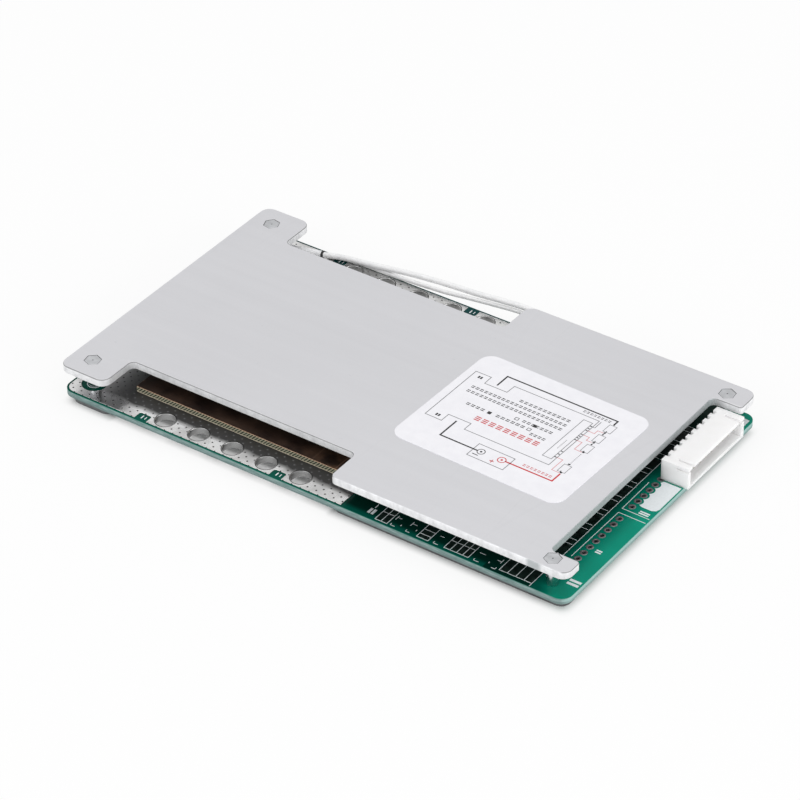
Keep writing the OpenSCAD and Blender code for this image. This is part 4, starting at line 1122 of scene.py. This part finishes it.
cone_low, cone_high = mm_box("pin_solder")
CONE_R, CONE_TIP_R = 0.95, 0.4
drop = np.linspace(1, 0, 7)  # shares of the way down, from the tip up
cone_profile = [(CONE_TIP_R + (CONE_R - CONE_TIP_R) * (1 - t) ** 1.8,
                 cone_high[2] + t * (cone_low[2] - cone_high[2])) for t in drop]
cones = add_piece("solder_cones",
                  *stacked([closed_rings(turned_rings((ROW_X, y), cone_profile, 20))
                            for y in pin_row]), tinned, "solder")
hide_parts("pin_solder")


# ---------------------------------------------------------------------------------------------
# Temperature sensor: a bead in a white shrink sleeve with a black collar, beside the rear left
# standoff. Its two stiff white leads run along the rear holes and back in under the plate.
# ---------------------------------------------------------------------------------------------

REAR_CORNER = np.array([-72.2, 41.7, 3.9])
WIDE_ROUTE = [
    (19.55, -3.4, 1.5), (24.9, -1.8, 1.64), (33.2, -0.76, 1.95), (42.2, 0.85, 2.15),
    (52.2, 2, 2.35), (62.2, 2.4, 2.7), (70.2, 3.05, 3), (77.2, 3.5, 3.1), (83.2, 2.5, 2.9),
    (87.7, -0.5, 2.3), (90.7, -4.3, 1.6), (92.7, -8.3, 1), (94.2, -11.7, 0.75)]
NARROW_ROUTE = [
    (19.8, -2.1, 0.75), (24.5, -0.75, 0.7), (29, -0.35, 0.7), (33, -0.3, 0.7),
    (36.5, -0.3, 0.72), (40.2, -0.25, 0.78), (44, -0.1, 0.9), (48.2, 0.1, 1), (54.2, 0.4, 1.2),
    (60.2, 1.2, 1.4), (68.2, 2.2, 1.6), (75.2, 2.9, 1.7), (80.4, 2.2, 1.65), (84.6, -0.8, 1.4),
    (88, -5.6, 0.9), (90.2, -10.1, 0.65), (91.2, -13.3, 0.55)]


def smooth_route(route, steps=8):
    """Points on the Catmull-Rom curve through a route: between b and c, with neighbours a and d,
    half of 2b + (c - a) t + (2a - 5b + 4c - d) t^2 + (3b - a - 3c + d) t^3."""
    p = np.asarray(route, float) + REAR_CORNER
    p = np.concatenate([p[:1], p, p[-1:]])
    a, b, c, d = (p[k:len(p) - 3 + k][:, None] for k in range(4))
    t = (np.arange(steps) / steps)[None, :, None]
    curve = 0.5 * (2 * b + (c - a) * t + (2 * a - 5 * b + 4 * c - d) * t ** 2
                   + (3 * b - a - 3 * c + d) * t ** 3)
    return np.concatenate([curve.reshape(-1, 3), p[-2:-1]])


def jacket_finish(name, dark):
    """Smooth white jacket with a soft sheen and a little handling dirt."""
    jacket = Paint(name)
    dirt = jacket.span(jacket.noise(300.0, 3.0, 0.6), 0.5, 0.75)
    tone = jacket.blend(jacket.sum("MULTIPLY", dirt, 0.5), (0.93, 0.93, 0.935), dark)
    fine = jacket.noise(1600.0, 2.0)
    return jacket.finish(tone, jacket.span(fine, 0.3, 0.7, 0.24, 0.34), 0.0,
                         jacket.relief(fine, 0.015, 0.4))


turn = np.linspace(0, 2 * np.pi, 18, endpoint=False)
circle = np.stack([np.cos(turn), np.sin(turn)], axis=1)
for route, diameter, node, name in (
        (WIDE_ROUTE, 1.5, "sensor_wide_lead", "wide_lead"),
        (NARROW_ROUTE, 1.1, "sensor_narrow_lead", "narrow_lead")):
    wire = add_piece(name, *swept(smooth_route(route), diameter / 2 * circle),
                     jacket_finish(name + "_jacket", (0.74, 0.75, 0.77)), "lead_jacket", 50.0)
    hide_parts(node)


def sleeve_finish():
    """White shrink sleeve: glossier than the leads, with faint hoops where it drew in."""
    sleeve = Paint("shrink_sleeve")
    hoops = sleeve.noise(900.0, 2.0, 0.5, stretch=(1, 0.3, 0.3))
    tone = sleeve.blend(sleeve.span(hoops, 0.3, 0.7), (0.84, 0.85, 0.87), (0.92, 0.92, 0.93))
    return sleeve.finish(tone, sleeve.span(hoops, 0.3, 0.7, 0.2, 0.32), 0.0,
                         sleeve.relief(hoops, 0.03, 0.4))


def trim_finish():
    """Matt black plastic with a fine grain."""
    trim = Paint("black_trim")
    grain = trim.noise(2200.0, 3.0)
    tone = trim.blend(grain, (0.008, 0.008, 0.009), (0.03, 0.03, 0.032))
    return trim.finish(tone, trim.span(grain, 0.3, 0.7, 0.45, 0.6), 0.0,
                       trim.relief(grain, 0.01, 0.4))


black_trim = trim_finish()
SLEEVE_L, SLEEVE_R, COLLAR_L, COLLAR_T = 11.0, 1.05, 0.6, 0.1
SLEEVE_LIFT = TIN_T + SLEEVE_R + COLLAR_T     # from the board to the axis
sleeve_from = np.array([9.2, -5.8, SLEEVE_LIFT]) + REAR_CORNER
sleeve_to = np.array([19.6, -3.2, SLEEVE_LIFT]) + REAR_CORNER
heading = (sleeve_to - sleeve_from) / np.linalg.norm(sleeve_to - sleeve_from)


def along_sleeve(profile):
    """A revolved skin on the sleeve's axis, from (millimetres along it, radius) pairs."""
    table = np.asarray(profile, float)
    line = sleeve_to + (table[:, :1] - SLEEVE_L) * heading
    side = np.cross(heading, (0, 0, 1))
    over = np.cross(heading, side)
    rings = line[:, None] + table[:, 1][:, None, None] * (
        circle[:, :1] * side + circle[:, 1:] * over)
    return closed_rings(rings)


tip = np.linspace(0.0, np.pi / 2, 6)
closed_end = np.stack([0.6 * (1 - np.cos(tip)), 0.05 + (SLEEVE_R - 0.05) * np.sin(tip)], axis=1)
body = [(s, SLEEVE_R - 0.02 - 0.02 * np.cos(2.1 * s)) for s in np.linspace(0.9, 10.3, 20)]
sleeve = add_piece("shrink_sleeve", *along_sleeve([*closed_end, *body]), sleeve_finish(),
                   "sleeve", 50.0)
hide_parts("sensor_sleeve", "sensor_bead")
collar = add_piece(
    "collar",
    *along_sleeve([(SLEEVE_L - COLLAR_L, 1.02), (SLEEVE_L - COLLAR_L + 0.05, 1.12),
                   (SLEEVE_L - 0.12, 1.15), (SLEEVE_L, 1.05), (SLEEVE_L, 0.3)]),
    black_trim, "black_trim")
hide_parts("sleeve_collar")


# ---------------------------------------------------------------------------------------------
# Wiring label: a white film with round corners, stuck on a little askew. It shows how cells are
# wired to such a board. Its words and its red title are left as rows of plain bars.
# ---------------------------------------------------------------------------------------------

def film_finish():
    """Smooth white film with a very faint orange peel."""
    film = Paint("label_film")
    peel = film.noise(420.0, 2.0, 0.5)
    fine = film.noise(2600.0, 2.0)
    tone = film.blend(film.span(peel, 0.3, 0.7), (0.86, 0.855, 0.895), (0.90, 0.895, 0.93))
    return film.finish(tone, film.span(fine, 0.3, 0.7, 0.34, 0.46), 0.0,
                       film.relief(peel, 0.03, 0.3))


low, high = mm_box("label_film")
LABEL_L, LABEL_W, LABEL_R = 47.7, 39.6, 3.4
LABEL_MIDDLE = np.array([33.4, -0.9])
LABEL_TURN = np.radians(-1.6)
PRINT_T = 0.012
PRINT_Z = high[2] - PRINT_T
film_loop = rounded_loop(
    [(x * LABEL_L / 2, y * LABEL_W / 2, LABEL_R) for x, y in ((-1, -1), (1, -1), (1, 1), (-1, 1))],
    12)


def stuck_on(shape):
    """A shape drawn in the label's own plane, turned and moved to its place on the plate."""
    points, faces = shape
    cos, sin = np.cos(LABEL_TURN), np.sin(LABEL_TURN)
    placed = points.copy()
    placed[:, 0] = cos * points[:, 0] - sin * points[:, 1] + LABEL_MIDDLE[0]
    placed[:, 1] = sin * points[:, 0] + cos * points[:, 1] + LABEL_MIDDLE[1]
    return placed, faces


film = add_piece(
    "wiring_label",
    *stuck_on(blanked_sheet(inset_rings(film_loop, [(0.0, low[2]), (0.0, PRINT_Z - 0.03),
                                                    (0.04, PRINT_Z)]))),
    film_finish(), "label")
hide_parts("label_film")

grey, black, red, pink = [], [], [], []


def stroke(colour, spots, width, closed=False):
    """Adds a printed line to one of the label's four inks."""
    colour.append(ink_line(spots, width, PRINT_Z, PRINT_T, closed))


def ring(colour, spot, radius, width, sides=40):
    """Adds a printed circle to one of the label's inks."""
    colour.append(ink_ring(spot, radius, width, PRINT_Z, PRINT_T, sides))


def words(colour, x0, x1, y, marks, offs, width, fill):
    """Adds a row of words as marks plain bars, once at each distance off from the row."""
    for off in offs:
        colour += bars((x0, y + off), (x1, y + off), marks, width, PRINT_Z, fill, PRINT_T)


# The board, its connector and the charger
stroke(grey, [(-21.7, 12.0), (-17.3, 12.1), (-17.2, 9.2), (-10.8, 9.3), (-10.7, 12.3),
              (13.4, 12.5), (13.4, -8.2), (-10.4, -8.4), (-10.4, -5.7), (-16.8, -5.8),
              (-16.8, -8.7), (-21.5, -8.7)], 0.2, closed=True)
stroke(grey, [(10.1, -6.0), (12.6, -6.0), (12.6, 10.9), (10.1, 10.9)], 0.18, closed=True)
stroke(grey, [(-4.25, -15.95), (5.9, -15.95), (5.9, -10.9), (-4.25, -10.9)], 0.2, closed=True)

# Four cells, each with its two poles, and the dots that stand for the rest
for y in (11.6, 6.95, 2.3, -7.0):
    stroke(grey, [(16.2, y - 1.8), (18.2, y - 1.8), (18.2, y + 1.2), (16.2, y + 1.2)], 0.16,
           closed=True)
    stroke(black, [(17.05, y + 1.4), (17.05, y + 1.9)], 0.4)
    stroke(black, [(17.05, y - 1.9), (17.05, y - 1.4)], 0.25)
for k in range(9):
    stroke(black, [(17.2, -0.6 - 0.5 * k), (17.2, -0.8 - 0.5 * k)], 0.2)
    stroke(black, [(11.4, 2.0 - 0.45 * k), (11.4, 1.8 - 0.45 * k)], 0.2)

# The wires: black from both tabs, pink from the cells' joints, red to the charger's plus pole
stroke(black, [(-14.3, 10.2), (-14.35, 14.6), (17.0, 14.9), (17.0, 13.3)], 0.42)
stroke(black, [(-13.75, -6.8), (-13.7, -13.4), (-3.1, -13.3)], 0.42)
stroke(black, [(14.0, 12.4), (14.0, 9.7), (12.7, 9.7)], 0.14)
stroke(red, [(4.6, -13.0), (17.5, -12.8), (17.5, -9.5)], 0.4)
stroke(pink, [(16.7, 9.2), (15.2, 9.2), (15.2, 7.8), (13.2, 7.8)], 0.16)
stroke(pink, [(16.6, 4.6), (15.1, 4.6), (15.1, 5.9), (13.2, 5.9)], 0.16)
stroke(pink, [(16.9, 0.2), (14.8, 0.2), (14.8, 3.3), (13.2, 3.3)], 0.16)
stroke(pink, [(17.3, -9.3), (15.0, -9.3), (15.0, -4.8), (13.2, -4.8)], 0.16)

# Poles, joints and contacts
ring(black, (-2.1, -13.2), 0.95, 0.2)
ring(red, (3.6, -13.0), 1.0, 0.22)
ring(red, (3.6, -13.0), 0.15, 0.3, sides=16)
for spot, width in (((17.0, 9.35), 0.3), ((17.05, 4.75), 0.3), ((17.2, 0.35), 0.3),
                    ((17.3, -5.3), 0.2), ((17.4, -9.0), 0.3), ((-2.1, -13.2), 0.3)):
    ring(black, spot, width / 2, width, sides=16)
for y in (8.7, 7.8, 9.7, 5.9, 5.0, 4.2, 3.3, -2.2, -3.5, -4.8):
    stroke(black, [(12.7, y), (13.2, y)], 0.3)

# Minus and plus
stroke(black, [(-3.5, -14.8), (-1.9, -14.8)], 0.25)
stroke(red, [(1.35, -14.7), (2.55, -14.7)], 0.22)
stroke(red, [(1.95, -15.3), (1.95, -14.1)], 0.22)

# Title, wire names, text and tab names
words(red, -11.0, 7.6, -3.2, 9, (-0.62, 0.0, 0.62), 0.32, 0.72)
words(red, 8.6, 16.9, -11.6, 8, (-0.25, 0.25), 0.2, 0.66)
words(black, 8.1, 16.1, 13.75, 8, (-0.25, 0.25), 0.2, 0.66)
for x0, x1, y, marks in ((-6.4, 8.3, 8.4, 11), (-19.0, 8.5, 6.5, 22), (-19.0, 8.5, 4.6, 22),
                         (-1.2, 7.5, 2.2, 7), (-7.5, 1.0, 0.3, 6), (3.0, 7.6, -0.9, 4),
                         (-16.0, -10.5, 0.3, 4)):
    words(black, x0, x1, y, marks, (-0.28, 0.28), 0.26, 0.7)
for x, y in ((-20.0, 10.5), (-19.4, -7.3)):
    words(black, x, x + 1.4, y, 2, (0.0,), 0.9, 0.7)

# Boxes to tick: two filled and two empty
for x, y in ((-9.4, 0.25), (2.3, 2.15)):
    stroke(black, [(x - 0.5, y), (x + 0.5, y)], 1.0)
for x, y in ((-2.8, 2.05), (1.9, 0.3)):
    stroke(black, [(x - 0.45, y - 0.45), (x + 0.45, y - 0.45), (x + 0.45, y + 0.45),
                   (x - 0.45, y + 0.45)], 0.16, closed=True)

for name, shapes, colour in (("grey_print", grey, (0.24, 0.24, 0.25)),
                             ("black_print", black, (0.022, 0.022, 0.024)),
                             ("red_print", red, (0.62, 0.03, 0.035)),
                             ("pink_print", pink, (0.72, 0.25, 0.26))):
    add_piece(name, *stuck_on(stacked(shapes)), ink_finish(name + "_ink", colour, 0.4),
              "label")


# ---------------------------------------------------------------------------------------------
# Power stage between the plates: moulded transistors with stamped tabs and leads, metal-strip
# shunts, and the silicone pads that carry their heat into both plates.
# ---------------------------------------------------------------------------------------------

def moulding_finish():
    """Black moulding compound: matt, with a fine sparkle of filler."""
    epoxy = Paint("black_moulding")
    filler = epoxy.noise(2800.0, 2.0)
    cloud = epoxy.noise(300.0, 2.0)
    tone = epoxy.blend(epoxy.span(filler, 0.55, 0.75), (0.012, 0.012, 0.014),
                       (0.045, 0.045, 0.048))
    return epoxy.finish(tone, epoxy.span(cloud, 0.3, 0.7, 0.42, 0.6), 0.0,
                        epoxy.relief(filler, 0.01, 0.5))


def silicone_finish():
    """Grey-blue silicone sheet, soft and dusty, with a fine cloth pattern pressed in."""
    pad = Paint("thermal_silicone")
    cloth = pad.node("TexBrick", {"Vector": pad.where(), "Scale": 900.0, "Mortar Size": 0.06,
                                  "Color1": (1, 1, 1, 1), "Color2": (0.8, 0.8, 0.8, 1),
                                  "Mortar": (0, 0, 0, 1)}).outputs["Color"]
    cloud = pad.noise(200.0, 3.0)
    tone = pad.blend(pad.span(cloud, 0.3, 0.7), (0.24, 0.29, 0.33), (0.33, 0.38, 0.42))
    return pad.finish(tone, pad.span(cloud, 0.3, 0.7, 0.62, 0.78), 0.0,
                      pad.relief(cloth, 0.02, 0.4))


moulding = moulding_finish()
silicone = silicone_finish()
lead_metal = steel_finish("tinned_leads", (0.62, 0.62, 0.60), 0.26)
softened("upper_thermal_pad", "upper_silicone", 0.12, silicone)
softened("lower_thermal_pad", "lower_silicone", 0.08, silicone)
softened("mosfet_bodies", "transistor_mouldings", 0.12, moulding)
softened("mosfet_tabs", "transistor_tabs", 0.1, lead_metal)
softened("mosfet_leads", "transistor_leads", 0.08, lead_metal)
softened("shunt_resistors", "strip_shunts", 0.1,
         steel_finish("shunt_alloy", (0.36, 0.33, 0.29), 0.4))


# ---------------------------------------------------------------------------------------------
# Control electronics under the wide part of the upper plate: a monitor chip with gull-wing
# pins, two drivers, protection diodes, and a resistor, a transistor and a capacitor per cell.
# ---------------------------------------------------------------------------------------------

def ceramic_finish():
    """Sintered ceramic, warm brown, with a fine grain."""
    ceramic = Paint("sintered_ceramic")
    grain = ceramic.noise(1800.0, 3.0)
    tone = ceramic.blend(grain, (0.26, 0.16, 0.09), (0.42, 0.28, 0.17))
    return ceramic.finish(tone, ceramic.span(grain, 0.3, 0.7, 0.45, 0.6), 0.0,
                          ceramic.relief(grain, 0.01, 0.5))


softened("monitor_chip", "monitor_moulding", 0.12, moulding)
softened("monitor_pins", "gull_wing_pins", 0.03, lead_metal, 1)
softened("driver_chips", "driver_mouldings", 0.12, moulding)
softened("protection_diodes", "diode_mouldings", 0.15, moulding)
softened("balance_transistors", "channel_transistors", 0.1, moulding)
softened("balance_resistors", "channel_resistors", 0.06, moulding)
softened("filter_capacitors", "channel_capacitors", 0.12, ceramic_finish())
